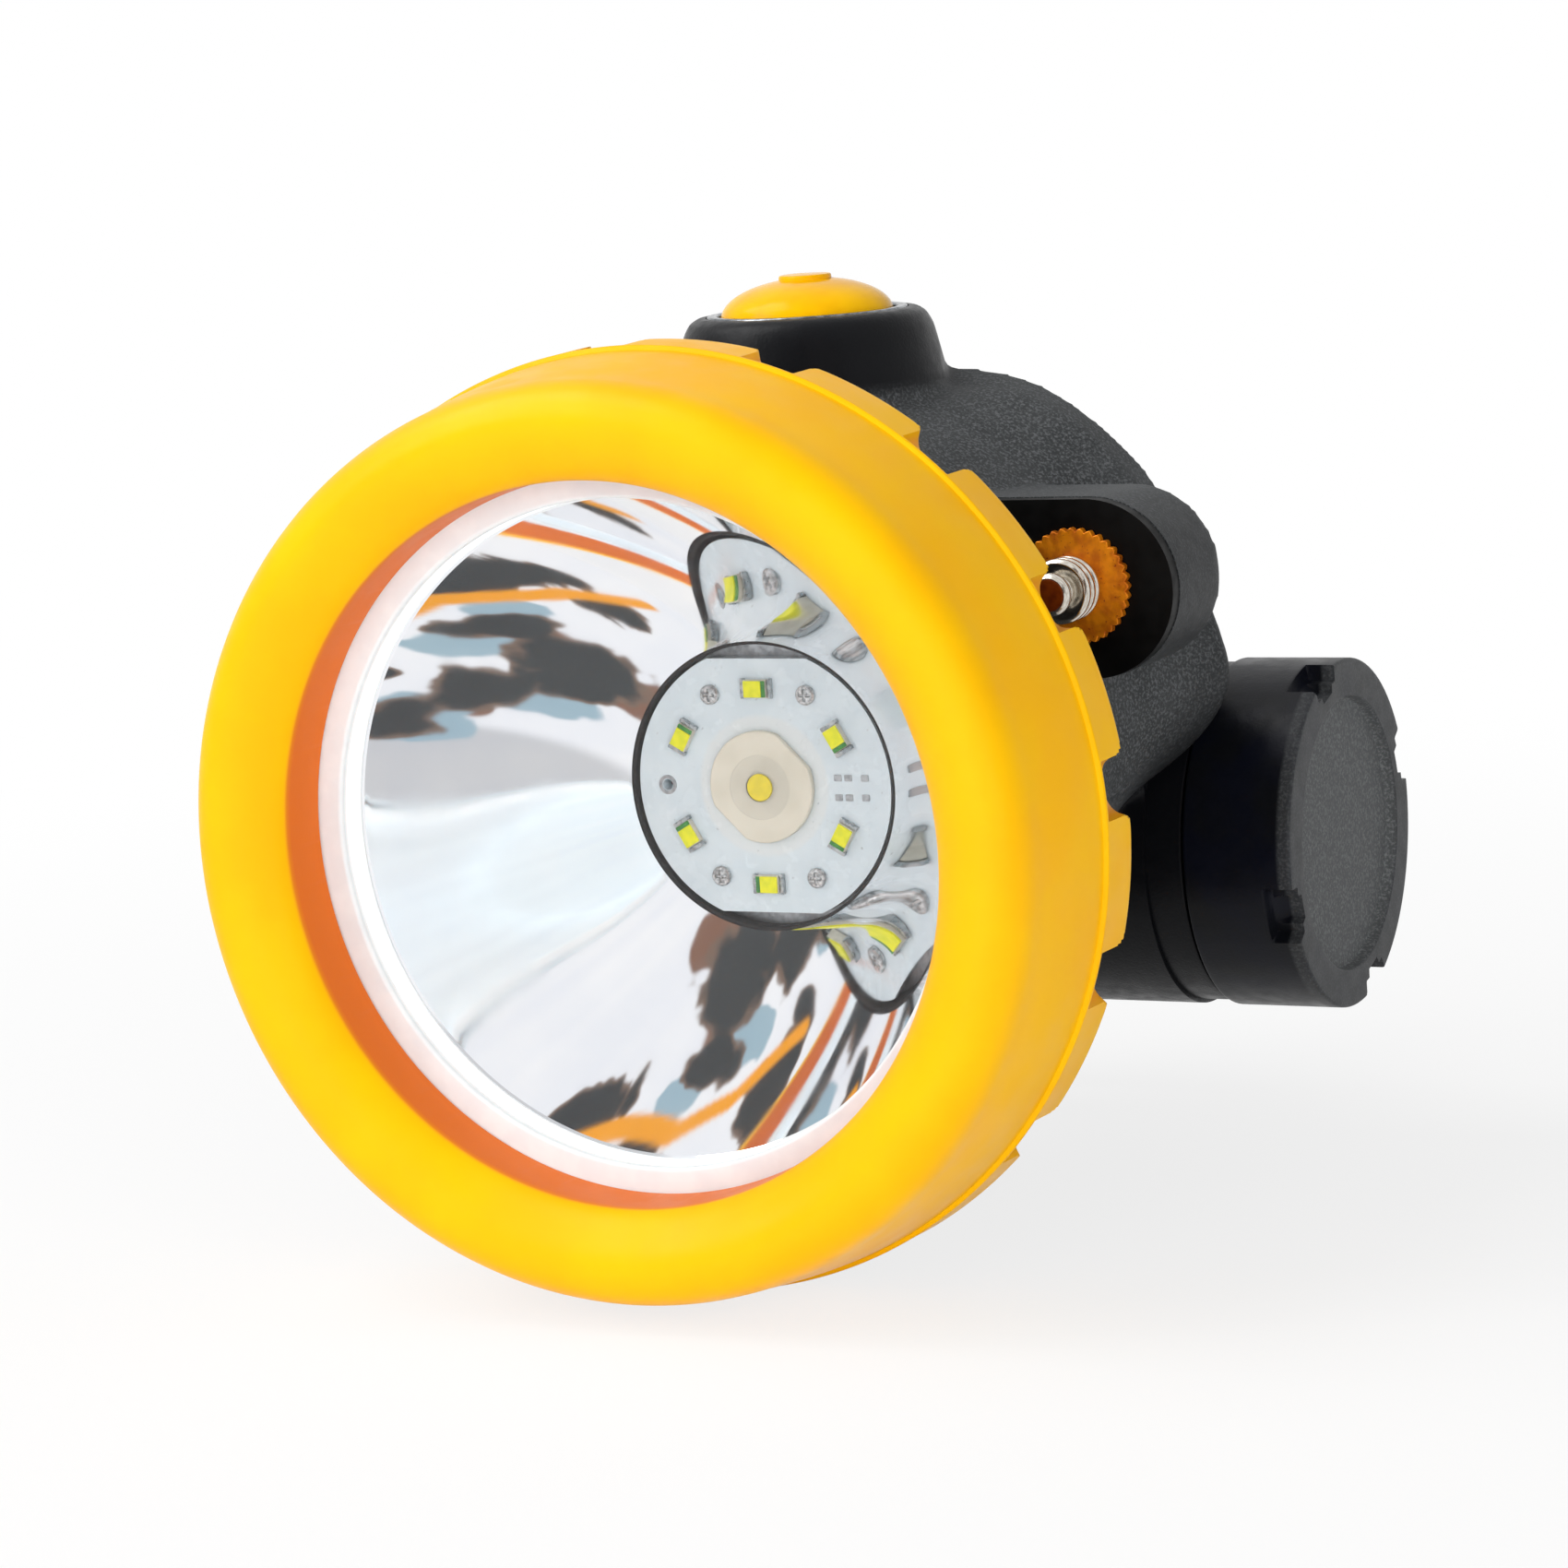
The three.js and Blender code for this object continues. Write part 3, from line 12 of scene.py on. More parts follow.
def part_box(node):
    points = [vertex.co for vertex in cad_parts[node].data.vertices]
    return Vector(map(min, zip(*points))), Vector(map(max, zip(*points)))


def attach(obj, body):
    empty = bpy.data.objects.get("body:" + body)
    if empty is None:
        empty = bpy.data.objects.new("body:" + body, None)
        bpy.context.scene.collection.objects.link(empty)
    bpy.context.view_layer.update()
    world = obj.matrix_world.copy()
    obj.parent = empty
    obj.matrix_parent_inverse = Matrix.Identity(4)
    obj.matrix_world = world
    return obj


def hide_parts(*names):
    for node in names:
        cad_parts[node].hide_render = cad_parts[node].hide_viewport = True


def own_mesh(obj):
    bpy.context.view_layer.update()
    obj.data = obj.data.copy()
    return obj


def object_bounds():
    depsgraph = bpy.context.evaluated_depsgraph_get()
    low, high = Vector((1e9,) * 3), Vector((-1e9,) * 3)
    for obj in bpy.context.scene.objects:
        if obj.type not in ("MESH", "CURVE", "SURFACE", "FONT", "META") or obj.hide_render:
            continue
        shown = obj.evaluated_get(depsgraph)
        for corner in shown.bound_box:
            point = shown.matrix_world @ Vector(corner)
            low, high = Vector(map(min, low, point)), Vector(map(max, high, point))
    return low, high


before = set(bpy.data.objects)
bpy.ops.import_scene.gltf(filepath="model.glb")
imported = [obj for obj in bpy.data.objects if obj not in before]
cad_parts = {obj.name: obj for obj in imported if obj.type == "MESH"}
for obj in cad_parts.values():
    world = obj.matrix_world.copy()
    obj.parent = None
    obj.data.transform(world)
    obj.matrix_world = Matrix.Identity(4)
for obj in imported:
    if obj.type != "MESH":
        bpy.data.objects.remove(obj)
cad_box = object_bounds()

bl_info = {
    "name": "Miner's Cap Lamp",
    "version": (1, 0, 0),
    "blender": (4, 5, 0),
    "location": "View3D > Sidebar > Cap Lamp",
    "description": "Builds the visible pieces of a cordless miner's cap lamp round its CAD parts",
    "category": "Add Mesh",
}

MM = 0.001
SHARP_ANGLE = math.radians(35)

# ---- Places taken from the CAD parts ----
# Shapes are drawn in millimetres from the middle of the beam opening's edge: X to the viewer's right,
# Y backwards into the lamp, Z up.

SEAL_BEHIND_OPENING = 5.3


def middle(node):
    """The middle of a CAD node's box, in metres in the shared frame."""
    low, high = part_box(node)
    return (low + high) / 2


BEAM = middle("front_lens")
BEAM.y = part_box("lens_seal")[0].y - SEAL_BEHIND_OPENING * MM


def drawn(point):
    """A point of the shared frame in millimetres from the beam opening."""
    return (Vector(point) - BEAM) / MM


TUBE = drawn(middle("battery_cell"))
TURRET = drawn(middle("button_cap"))
STUD = drawn(middle("charging_stud"))
STUD_TIP_Y = drawn(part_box("charging_stud")[0]).y
CAP_MOUTH_X, CAP_END_X = (drawn(corner).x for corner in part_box("battery_cap"))
BOARD_Y = drawn(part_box("led_board")[0]).y
THROAT_FRONT_Y, THROAT_REAR_Y = (drawn(corner).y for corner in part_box("throat_ring"))
CLIP_REAR_Y = drawn(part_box("helmet_clip")[1]).y

TUBE_AXIS = ("X", (TUBE.y, TUBE.z))
TURRET_AXIS = ("Z", (TURRET.x, TURRET.y))
STUD_AXIS = ("Y", (STUD.x, STUD.z))

# ---- Sizes that the pieces share, in millimetres ----

OPENING_R = 27.5
LIP_DEPTH = 5.2
NOSE_R = 35.0
RIM_R = 36.65
BORE_R = 33.75
BEZEL_LENGTH = 14.6
CROWN_HEIGHT = 2.9
LAND_FRONT_Y = 10.4
BEZEL_TURN_DEG = -4.7
LENS_R, LENS_FRONT_Y, LENS_REAR_Y = 28.7, 6.3, 7.9
SEAL_POCKET_R = 30.5
MOUTH_Y = 8.3
MOUTH_R = 25.5
THROAT_R = 11.64
FOCUS = 6.875
CONE_SHARE = 0.25
END_STEEPNESS = 0.025

BOARD_R = 11.1
BOARD_FLAT = 10.2
BOARD_THICKNESS = 1.4
HEAT_SINK_R = 13.6
WIRE_HOLE_X, WIRE_HOLE_R = -8.6, 0.45
SCREW_CIRCLE_R, SCREW_HEAD_R, SCREW_SHANK_R = 8.45, 0.8, 0.5
EMITTER_R, EMITTER_FLAT = 4.5, 4.1
LED_CIRCLE_R = 7.85
LED_REAR_Y = BOARD_Y - 0.05
LED_FRONT_Y = LED_REAR_Y - 0.6

NECK_R = 33.4
NECK_FRONT_Y = 9.6
NECK_REAR_Y = 14.2
WAIST_R = 29.0
SKIN_RIM_R = 34.3
RIM_FRONT_Y, RIM_REAR_Y = 43.5, 47.0
RIM_TOP_FRONT_Z, RIM_TOP_REAR_Z = 30.0, 31.4
DOME_R = 33.0
DOME_DEPTH = 12.0
CAVITY_REAR_Y = 41.57

TUBE_R = 14.26
TUBE_LEFT_X, TUBE_RIGHT_X = -38.0, 25.55
COLLAR_R = 13.91
COLLAR_RIGHT_X = 28.65
SPIGOT_R = 12.36
CELL_RIGHT_X = 34.4
CELL_BORE_R = 9.6

TURRET_R = 10.9
TURRET_TOP_R = 10.1
TURRET_TOP_Z = 36.4
TURRET_BORE_R = 7.3
BUTTON_R = 6.95

EAR_X, EAR_Z, EAR_R = 29.39, 15.76, 6.95
EAR_FRONT_Y, EAR_REAR_Y, PAD_REAR_Y = 26.0, 36.0, 27.2
WASHER_R = 4.5
SHANK_HOLE_R = 2.05

CAP_RECESS_R = TUBE_R - 3.06
CAP_RECESS_DEPTH = 0.9
CAP_BORE_R = 12.71
CAP_TURN_DEG = 18

CLIP_WIDTH = 22.0
CLIP_THICKNESS = 1.5
CLIP_GAP = 5.6
CLIP_BASE_HEIGHT = 21.0
CLIP_TONGUE_LENGTH = 30.0
CLIP_PAD_Y = TUBE.y + TUBE_R + 1
RIVET_SPACING = 11.0


# ---- Outlines and meshes ----


def rounded(outline, radius=0.25, steps=4, closed=True):
    """An outline with rounded corners. A point's third number, where it has one, is its own radius."""
    result = []
    count = len(outline)
    for i, (a, b, *own) in enumerate(outline):
        corner = np.array((a, b), float)
        if not closed and i in (0, count - 1):
            result.append(corner)
            continue
        before = np.array(outline[i - 1][:2], float) - corner
        after = np.array(outline[(i + 1) % count][:2], float) - corner
        spans = np.linalg.norm(before), np.linalg.norm(after)
        reach = min(own[0] if own else radius, 0.45 * spans[0], 0.45 * spans[1])
        if reach < 1e-4:
            result.append(corner)
            continue
        start, end = corner + before / spans[0] * reach, corner + after / spans[1] * reach
        for t in np.linspace(0, 1, steps + 1):
            result.append((1 - t) ** 2 * start + 2 * t * (1 - t) * corner + t * t * end)
    return [tuple(p) for p in result]


def rectangle(low_a, low_b, high_a, high_b):
    """An outline from two opposite corners."""
    return [(low_a, low_b), (high_a, low_b), (high_a, high_b), (low_a, high_b)]


def set_along(axis, a, b, height):
    """A point with two numbers across an axis and one along it."""
    return {"X": (height, a, b), "Y": (a, height, b), "Z": (a, b, height)}[axis]


def quilt(rings, closed=True):
    """Faces between rows of point numbers, without the corners that fall together."""
    faces = []
    for ring, following in zip(rings, rings[1:]):
        for k in range(len(ring) if closed else len(ring) - 1):
            n = (k + 1) % len(ring)
            corners = list(dict.fromkeys((ring[k], ring[n], following[n], following[k])))
            if len(corners) > 2:
                faces.append(corners)
    return faces


def turned(profile, sides, axis="Y", centre=(0, 0)):
    """A closed (radius, height) outline turned once about an axis through a centre."""
    points, rings = [], []
    for radius, height in profile:
        start = len(points)
        if radius < 1e-6:
            points.append(set_along(axis, *centre, height))
            rings.append([start] * sides)
            continue
        for k in range(sides):
            angle = math.tau * k / sides
            a, b = centre[0] + radius * math.cos(angle), centre[1] + radius * math.sin(angle)
            points.append(set_along(axis, a, b, height))
        rings.append(list(range(start, start + sides)))
    if profile[0][0] > 1e-6:
        rings.append(rings[0])
    return points, quilt(rings)


def soft_turned(outline, sides, axis="Y", centre=(0, 0), radius=0.25, steps=4):
    """The same with its corners rounded. An outline that starts on the axis ends there and stays open."""
    return turned(rounded(outline, radius, steps, closed=outline[0][0] > 0), sides, axis, centre)


def cylinder(radius, start, end, sides, axis="Y", centre=(0, 0)):
    """A plain round bar between two heights."""
    return turned(rectangle(0, start, radius, end), sides, axis, centre)


def turned_share(profile, offsets, radius_of_offsets, carve, axis="Y", centre=(0, 0), closed=True):
    """One share of a turned piece. Columns stand at offsets in millimetres, counted along the circle
    of a given radius from the top, and carve changes each (radius, height) at its offset."""
    points, rows = [], []
    for radius, height in profile:
        rows.append(list(range(len(points), len(points) + len(offsets))))
        for offset in offsets:
            r, h = carve(radius, height, offset)
            angle = offset / radius_of_offsets
            points.append(set_along(axis, centre[0] + r * math.sin(angle), centre[1] + r * math.cos(angle), h))
    if closed:
        rows.append(rows[0])
    return points, quilt(rows, closed=False)


def both_sides(steps):
    """Offsets to the left and right of the middle, which is one of them."""
    return [-s for s in reversed(steps)] + [0] + steps


def prism(outline, start, end, axis="Y"):
    """A closed outline pushed along an axis."""
    points = [set_along(axis, a, b, height) for height in (start, end) for a, b in outline]
    count = len(outline)
    ends = [list(range(count)), list(range(count, 2 * count))]
    return points, quilt(ends) + ends


def together(*shapes):
    """Several shapes as one list of points and one of faces."""
    points, faces = [], []
    for some_points, some_faces in shapes:
        faces += [[i + len(points) for i in face] for face in some_faces]
        points += list(some_points)
    return points, faces


def tidy(mesh):
    """Merges doubles, turns faces outwards, and shades smooth except across sharp edges."""
    work = bmesh.new()
    work.from_mesh(mesh)
    bmesh.ops.remove_doubles(work, verts=work.verts, dist=2e-6)
    bmesh.ops.dissolve_degenerate(work, edges=work.edges, dist=1e-7)
    bmesh.ops.recalc_face_normals(work, faces=work.faces)
    work.to_mesh(mesh)
    work.free()
    mesh.polygons.foreach_set("use_smooth", [True] * len(mesh.polygons))
    mesh.set_sharp_from_angle(angle=SHARP_ANGLE)
    mesh.update()


def raw_object(name, shape):
    """An object in the shared frame from a shape drawn in millimetres from the beam opening."""
    points, faces = shape
    mesh = bpy.data.meshes.new(name)
    mesh.from_pydata([BEAM + Vector(p) * MM for p in points], [], faces)
    result = bpy.data.objects.new(name, mesh)
    bpy.context.scene.collection.objects.link(result)
    tidy(mesh)
    return result


def settle(piece):
    """Makes a piece's modifiers part of its mesh."""
    bpy.context.view_layer.update()
    evaluated = piece.evaluated_get(bpy.context.evaluated_depsgraph_get())
    mesh = bpy.data.meshes.new_from_object(evaluated)
    piece.modifiers.clear()
    old = piece.data
    piece.data = mesh
    bpy.data.meshes.remove(old)
    return piece


def joined_by(piece, operation, *shapes):
    """Cuts shapes from a piece, or joins them to it, and removes them."""
    tools = [raw_object("tool", shape) if isinstance(shape, tuple) else shape for shape in shapes]
    for tool in tools:
        cut = piece.modifiers.new("cut", "BOOLEAN")
        cut.operation = operation
        cut.solver = "MANIFOLD"
        cut.object = tool
    settle(piece)
    for tool in tools:
        bpy.data.objects.remove(tool)
    return piece


def soften(piece, width_mm, segments=3, angle_deg=40):
    """Rounds a piece's sharp edges."""
    bevel = piece.modifiers.new("edges", "BEVEL")
    bevel.width = width_mm * MM
    bevel.segments = segments
    bevel.limit_method = "ANGLE"
    bevel.angle_limit = math.radians(angle_deg)
    tidy(settle(piece).data)
    return piece


def finish_piece(piece, finish, slot, *nodes, body="housing", even=True):
    """Gives a piece its finish and its body, and hides the CAD nodes it stands for. The slot is not used."""
    piece.data.materials.clear()
    piece.data.materials.append(look(finish))
    if even:
        weighted = piece.modifiers.new("even_shading", "WEIGHTED_NORMAL")
        weighted.keep_sharp = True
    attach(piece, body)
    if nodes:
        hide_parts(*nodes)


def smooth_step(low, high, value):
    """0 below low, 1 above high and a soft turn between them."""
    t = np.clip((np.asarray(value, float) - low) / (high - low), 0, 1)
    return t * t * (3 - 2 * t)


def vertex_places(piece):
    """The X, Y and Z of a piece's vertices in millimetres from the beam opening."""
    places = np.zeros(len(piece.data.vertices) * 3, np.float32)
    piece.data.vertices.foreach_get("co", places)
    return ((places.reshape(-1, 3) - np.array(BEAM)) / MM).T


def paint(piece, name, values):
    """Stores one number for each vertex under a name that a material reads."""
    layer = piece.data.attributes.new(name, "FLOAT", "POINT")
    layer.data.foreach_set("value", np.clip(values, 0, 1).astype(np.float32))


# ---- Nodes ----


def wire(tree, kind, inputs, out=0, **settings):
    """Adds a node, sets its inputs to values or links them to outputs, and gives one of its outputs."""
    node = tree.nodes.new(kind)
    for name, value in settings.items():
        setattr(node, name, value)
    for key, value in inputs.items():
        if isinstance(value, bpy.types.NodeSocket):
            tree.links.new(value, node.inputs[key])
        else:
            node.inputs[key].default_value = value
    return node.outputs[out]


def calculate(tree, operation, *values):
    return wire(tree, "ShaderNodeMath", dict(enumerate(values)), operation=operation)


def new_tree(name, **inputs):
    """An empty geometry tree with named inputs, and the outputs that give their values."""
    tree = bpy.data.node_groups.new(name, "GeometryNodeTree")
    for label, kind in {"Geometry": "Geometry", **inputs}.items():
        tree.interface.new_socket(label, in_out="INPUT", socket_type="NodeSocket" + kind)
    tree.interface.new_socket("Geometry", in_out="OUTPUT", socket_type="NodeSocketGeometry")
    return tree, tree.nodes.new("NodeGroupInput").outputs


def end_tree(tree, copies, finish):
    """Ends a tree: the copies become one mesh with one finish."""
    real = wire(tree, "GeometryNodeRealizeInstances", {"Geometry": copies})
    dressed = wire(tree, "GeometryNodeSetMaterial", {"Geometry": real, "Material": finish})
    tree.links.new(dressed, tree.nodes.new("NodeGroupOutput").inputs["Geometry"])
    return tree


def repeat_round_tree():
    """Copies of a shape at even steps round an axis through a centre."""
    tree, given = new_tree(
        "repeat_round_axis", Count="Int", Start="Float", Centre="Vector", Axis="Vector", Finish="Material",
    )
    spots = wire(tree, "GeometryNodeMeshLine", {"Count": given["Count"], "Offset": (0, 0, 0)})
    index = tree.nodes.new("GeometryNodeInputIndex").outputs[0]
    step = calculate(tree, "DIVIDE", math.tau, given["Count"])
    angle = calculate(tree, "MULTIPLY_ADD", index, step, given["Start"])
    turn = wire(tree, "FunctionNodeAxisAngleToRotation", {"Axis": given["Axis"], "Angle": angle})
    back = wire(tree, "ShaderNodeVectorMath", {0: given["Centre"], "Scale": -1}, operation="SCALE")
    shape = wire(tree, "GeometryNodeTransform", {"Geometry": given["Geometry"], "Translation": back})
    copies = wire(tree, "GeometryNodeInstanceOnPoints", {"Points": spots, "Instance": shape, "Rotation": turn})
    placed = wire(tree, "GeometryNodeTransform", {"Geometry": copies, "Translation": given["Centre"]})
    return end_tree(tree, placed, given["Finish"])


def set_in_rows_tree():
    """Copies of a shape drawn about the frame's origin, set in rows and columns over an upright face."""
    tree, given = new_tree(
        "set_in_rows", Columns="Int", Rows="Int", Width="Float", Height="Float", Centre="Vector", Finish="Material",
    )
    grid = wire(tree, "GeometryNodeMeshGrid", {
        "Vertices X": given["Columns"], "Vertices Y": given["Rows"], "Size X": given["Width"],
        "Size Y": given["Height"],
    })
    upright = wire(tree, "GeometryNodeTransform", {
        "Geometry": grid, "Rotation": (math.pi / 2, 0, 0), "Translation": given["Centre"],
    })
    copies = wire(tree, "GeometryNodeInstanceOnPoints", {"Points": upright, "Instance": given["Geometry"]})
    return end_tree(tree, copies, given["Finish"])


def through_tree(piece, tree, **values):
    """Runs a piece through a tree with the given inputs, and keeps the result as its plain mesh."""
    sockets = {s.name: s.identifier for s in tree.interface.items_tree if s.in_out == "INPUT"}
    modifier = piece.modifiers.new("nodes", "NODES")
    modifier.node_group = tree
    for label, value in values.items():
        modifier[sockets[label]] = value
    tidy(settle(piece).data)


def repeat_round(piece, count, start_deg, centre, axis, finish):
    """A piece repeated round an axis through a centre that is in millimetres from the opening."""
    tree = bpy.data.node_groups.get("repeat_round_axis") or repeat_round_tree()
    place = tuple(BEAM + Vector(centre) * MM)
    through_tree(
        piece, tree, Count=count, Start=math.radians(start_deg), Centre=place,
        Axis=tuple(float(letter == axis) for letter in "XYZ"), Finish=look(finish),
    )


def set_in_rows(piece, columns, rows, width, height, centre, finish):
    """A piece drawn at the frame's origin, repeated in rows about a place in millimetres from it."""
    tree = bpy.data.node_groups.get("set_in_rows") or set_in_rows_tree()
    through_tree(
        piece, tree, Columns=columns, Rows=rows, Width=width * MM, Height=height * MM,
        Centre=tuple(Vector(centre) * MM), Finish=look(finish),
    )


# ---- Materials ----


def linear(code):
    """A hexadecimal screen colour as the linear colour that the shaders take."""
    parts = [((code >> shift) & 255) / 255 for shift in (16, 8, 0)]
    return [c / 12.92 if c <= 0.04045 else ((c + 0.055) / 1.055) ** 2.4 for c in parts]


def opaque(tone):
    """A shader colour from a screen colour's code or from a colour's name in the settings."""
    colour = getattr(bpy.context.scene.cap_lamp_colours, tone) if isinstance(tone, str) else linear(tone)
    return (*colour, 1.0)


class Finish:
    """A material under construction: its nodes, its shader's sockets and the place on the object."""

    def __init__(self, name):
        self.material = bpy.data.materials.new(name)
        self.material.use_nodes = True
        self.tree = self.material.node_tree
        self.sockets = self.tree.nodes["Principled BSDF"].inputs
        self.place = self.node("ShaderNodeTexCoord", {}, "Object")

    def node(self, kind, inputs, out=0, **settings):
        return wire(self.tree, kind, inputs, out, **settings)

    def into(self, name, output):
        self.tree.links.new(output, self.sockets[name])

    def attribute(self, name):
        return self.node("ShaderNodeAttribute", {}, "Fac", attribute_name=name)

    def noise(self, size_mm, detail=3.0, roughness=0.5, stretch_by=None):
        """Noise whose features are about so many millimetres across."""
        place = self.place
        if stretch_by:
            place = self.node("ShaderNodeMapping", {"Vector": place, "Scale": stretch_by})
        return self.node("ShaderNodeTexNoise", {
            "Vector": place, "Scale": 1 / (size_mm * MM), "Detail": detail, "Roughness": roughness,
        }, "Fac")

    def between(self, value, from_low, from_high, to_low=0.0, to_high=1.0):
        """A value moved from one range to another and kept inside it."""
        return self.node("ShaderNodeMapRange", {
            "Value": value, "From Min": from_low, "From Max": from_high, "To Min": to_low, "To Max": to_high,
        }, "Result", interpolation_type="SMOOTHSTEP")

    def blend(self, factor, first, second):
        """One colour turning into another. Each is a code, a name in the settings or an output."""
        ends = [end if isinstance(end, bpy.types.NodeSocket) else opaque(end) for end in (first, second)]
        return self.node("ShaderNodeMix", {0: factor, 6: ends[0], 7: ends[1]}, 2, data_type="RGBA")

    def mix(self, share, first, second):
        """One value turning into another."""
        return self.node("ShaderNodeMix", {0: share, 2: first, 3: second}, data_type="FLOAT")

    def clouds(self, size_mm, first, second, edge=0.3):
        """Two colours in soft clouds about so many millimetres across."""
        return self.blend(self.between(self.noise(size_mm), edge, 1 - edge), first, second)

    def wander(self, size_mm, low, high):
        """A value that wanders between two others."""
        return self.between(self.noise(size_mm), 0.3, 0.7, low, high)

    def dress(self, colour, roughness, *layers, **constants):
        """Joins up the shader: its colour, its roughness and bumps from layers of (height output, height in
        millimetres, strength). What is the same all over is set on the shader's own sockets."""
        self.into("Base Color", colour)
        self.into("Roughness", roughness)
        below = {}
        for height, depth_mm, strength in layers:
            normal = self.node("ShaderNodeBump", {
                "Distance": depth_mm * MM, "Strength": strength, "Height": height, **below,
            })
            below = {"Normal": normal}
        self.into("Normal", normal)
        for name, value in constants.items():
            self.sockets[name.replace("_", " ")].default_value = value


def mottled(made, first, second, size_mm, low, high, grain_mm, grain_height, specular=0.5, metallic=0.0):
    """A plain finish: two close colours in clouds, roughness that wanders and a fine grain."""
    made.dress(made.clouds(size_mm, first, second, 0.35), made.wander(size_mm / 2, low, high),
               (made.noise(grain_mm), grain_height, 0.5), Specular_IOR_Level=specular, Metallic=metallic)


def brushed_metal(made, first, second, low, high, stretch_by=(1, 1, 1), grain_mm=0.4, grain_height=0.006):
    """Metal with fine drawn lines."""
    lines = made.noise(grain_mm, stretch_by=stretch_by)
    made.dress(made.blend(made.between(lines, 0.3, 0.7), first, second), made.between(lines, 0.3, 0.7, low, high),
               (lines, grain_height, 0.4), Metallic=1.0)


def yellow_plastic(made):
    """Moulded yellow plastic: even on the outside, painted orange shade on the deep lip and the notch floors, finely
    grained.
    """
    outside = made.clouds(9, "yellow", "yellow_light", 0.35)
    made.dress(made.blend(made.attribute("painted_deep_shade"), outside, "painted_shade_orange"), made.wander(3.0, 0.34, 0.44),
               (made.noise(0.22, detail=2), 0.012, 0.35), (made.noise(6), 0.05, 0.2), Specular_IOR_Level=0.12)


def button_gloss(made):
    """The button's glossier yellow."""
    made.dress(made.clouds(5, 0xFFC200, 0xF6B400, 0.35), made.wander(2.0, 0.14, 0.24),
               (made.noise(0.25), 0.006, 0.3), Specular_IOR_Level=0.08)


def housing_plastic(made):
    """Black moulded plastic: speckled grey grain on the body, smoother and darker on turret and tube, and painted
    darker as shade round the tube and to the right of the ear.
    """
    satin_and_shade = made.attribute("satin_and_shade")
    grain = made.noise(0.24, roughness=0.6)
    grey = made.clouds(5, "housing_grey", "housing_dark")
    speckled = made.blend(made.between(grain, 0.42, 0.7), grey, "housing_speck")
    rough = made.mix(satin_and_shade, made.between(grain, 0.3, 0.7, 0.5, 0.78), made.wander(1.2, 0.3, 0.42))
    made.dress(made.blend(satin_and_shade, speckled, "satin_black"), rough, (grain, 0.05, 0.55), Specular_IOR_Level=0.12)


def cap_plastic(made):
    """Near-black plastic: smooth round the side, finely grained on the end."""
    end = made.attribute("end_face")
    grain = made.noise(0.24, roughness=0.6)
    side = made.clouds(4, "satin_black", "cap_navy")
    face = made.blend(made.between(grain, 0.42, 0.7), 0x525455, 0x787A7B)
    rough = made.mix(end, made.wander(1.5, 0.3, 0.4), made.between(grain, 0.3, 0.7, 0.55, 0.75))
    made.dress(made.blend(end, side, face), rough, (grain, 0.03, 0.4), Specular_IOR_Level=0.14)


def mirror_chrome(made):
    """Bright vacuum-metallised plastic with the faintest waviness."""
    made.dress(made.clouds(8, 0xFCFCFC, 0xF7F8FA), made.wander(5.0, 0.02, 0.05),
               (made.noise(7, detail=1), 0.02, 0.12), Metallic=1.0)


def clear_plastic(made, alpha, tint):
    """Clear plastic that light passes through, with a soft gloss and faint haze marks."""
    glance = made.node("ShaderNodeLayerWeight", {"Blend": 0.5}, "Facing")
    made.into("Alpha", made.between(glance, 0.55, 1.0, alpha, 0.2))
    made.dress(made.clouds(6, tint, 0xE3E6E8, 0.35), made.wander(4.0, 0.03, 0.08),
               (made.noise(12, detail=1), 0.01, 0.1))


def white_rubber(made):
    """White rubber with a painted glow: it gives off faint light of its own all over, and more on its inner side
    behind the lens.
    """
    made.into("Emission Strength", made.between(made.attribute("painted_glow"), 0, 1, 0.08, 0.38))
    made.dress(made.clouds(2.5, 0xE8F1F4, 0xE2EBEF, 0.35), made.wander(1.2, 0.45, 0.6),
               (made.noise(0.15), 0.01, 0.5), Specular_IOR_Level=0.25, Emission_Color=opaque(0xF6F8FA))


def board_lacquer(made):
    """White solder lacquer: glossy, with a pale ring round the emitter and faint flecks."""
    from_beam = made.node("ShaderNodeVectorMath", {0: made.place, 1: tuple(BEAM)}, operation="SUBTRACT")
    across = made.node("ShaderNodeVectorMath", {0: from_beam, 1: (1, 0, 1)}, operation="MULTIPLY")
    distance = made.node("ShaderNodeVectorMath", {0: across}, "Value", operation="LENGTH")
    lacquer = made.clouds(2.5, "board", "board_shade")
    pale = made.blend(made.between(distance, 5.9 * MM, 5.4 * MM), lacquer, 0xDDE6E8)
    flecked = made.blend(made.between(made.noise(0.35), 0.66, 0.75), pale, 0xB3BEC2)
    made.dress(flecked, made.wander(1.5, 0.18, 0.3), (made.noise(0.5), 0.01, 0.3), Specular_IOR_Level=0.6,
               Coat_Weight=0.3, Coat_Roughness=0.15)


def toothed_brass(made):
    """Orange brass with reddish specks and a half-gloss face."""
    base = made.clouds(1.1, "brass", "brass_dark", 0.35)
    specked = made.blend(made.between(made.noise(0.3), 0.62, 0.72), base, 0x8E2F0C)
    made.dress(specked, made.wander(0.8, 0.38, 0.55), (made.noise(0.25), 0.02, 0.5), Metallic=0.55)


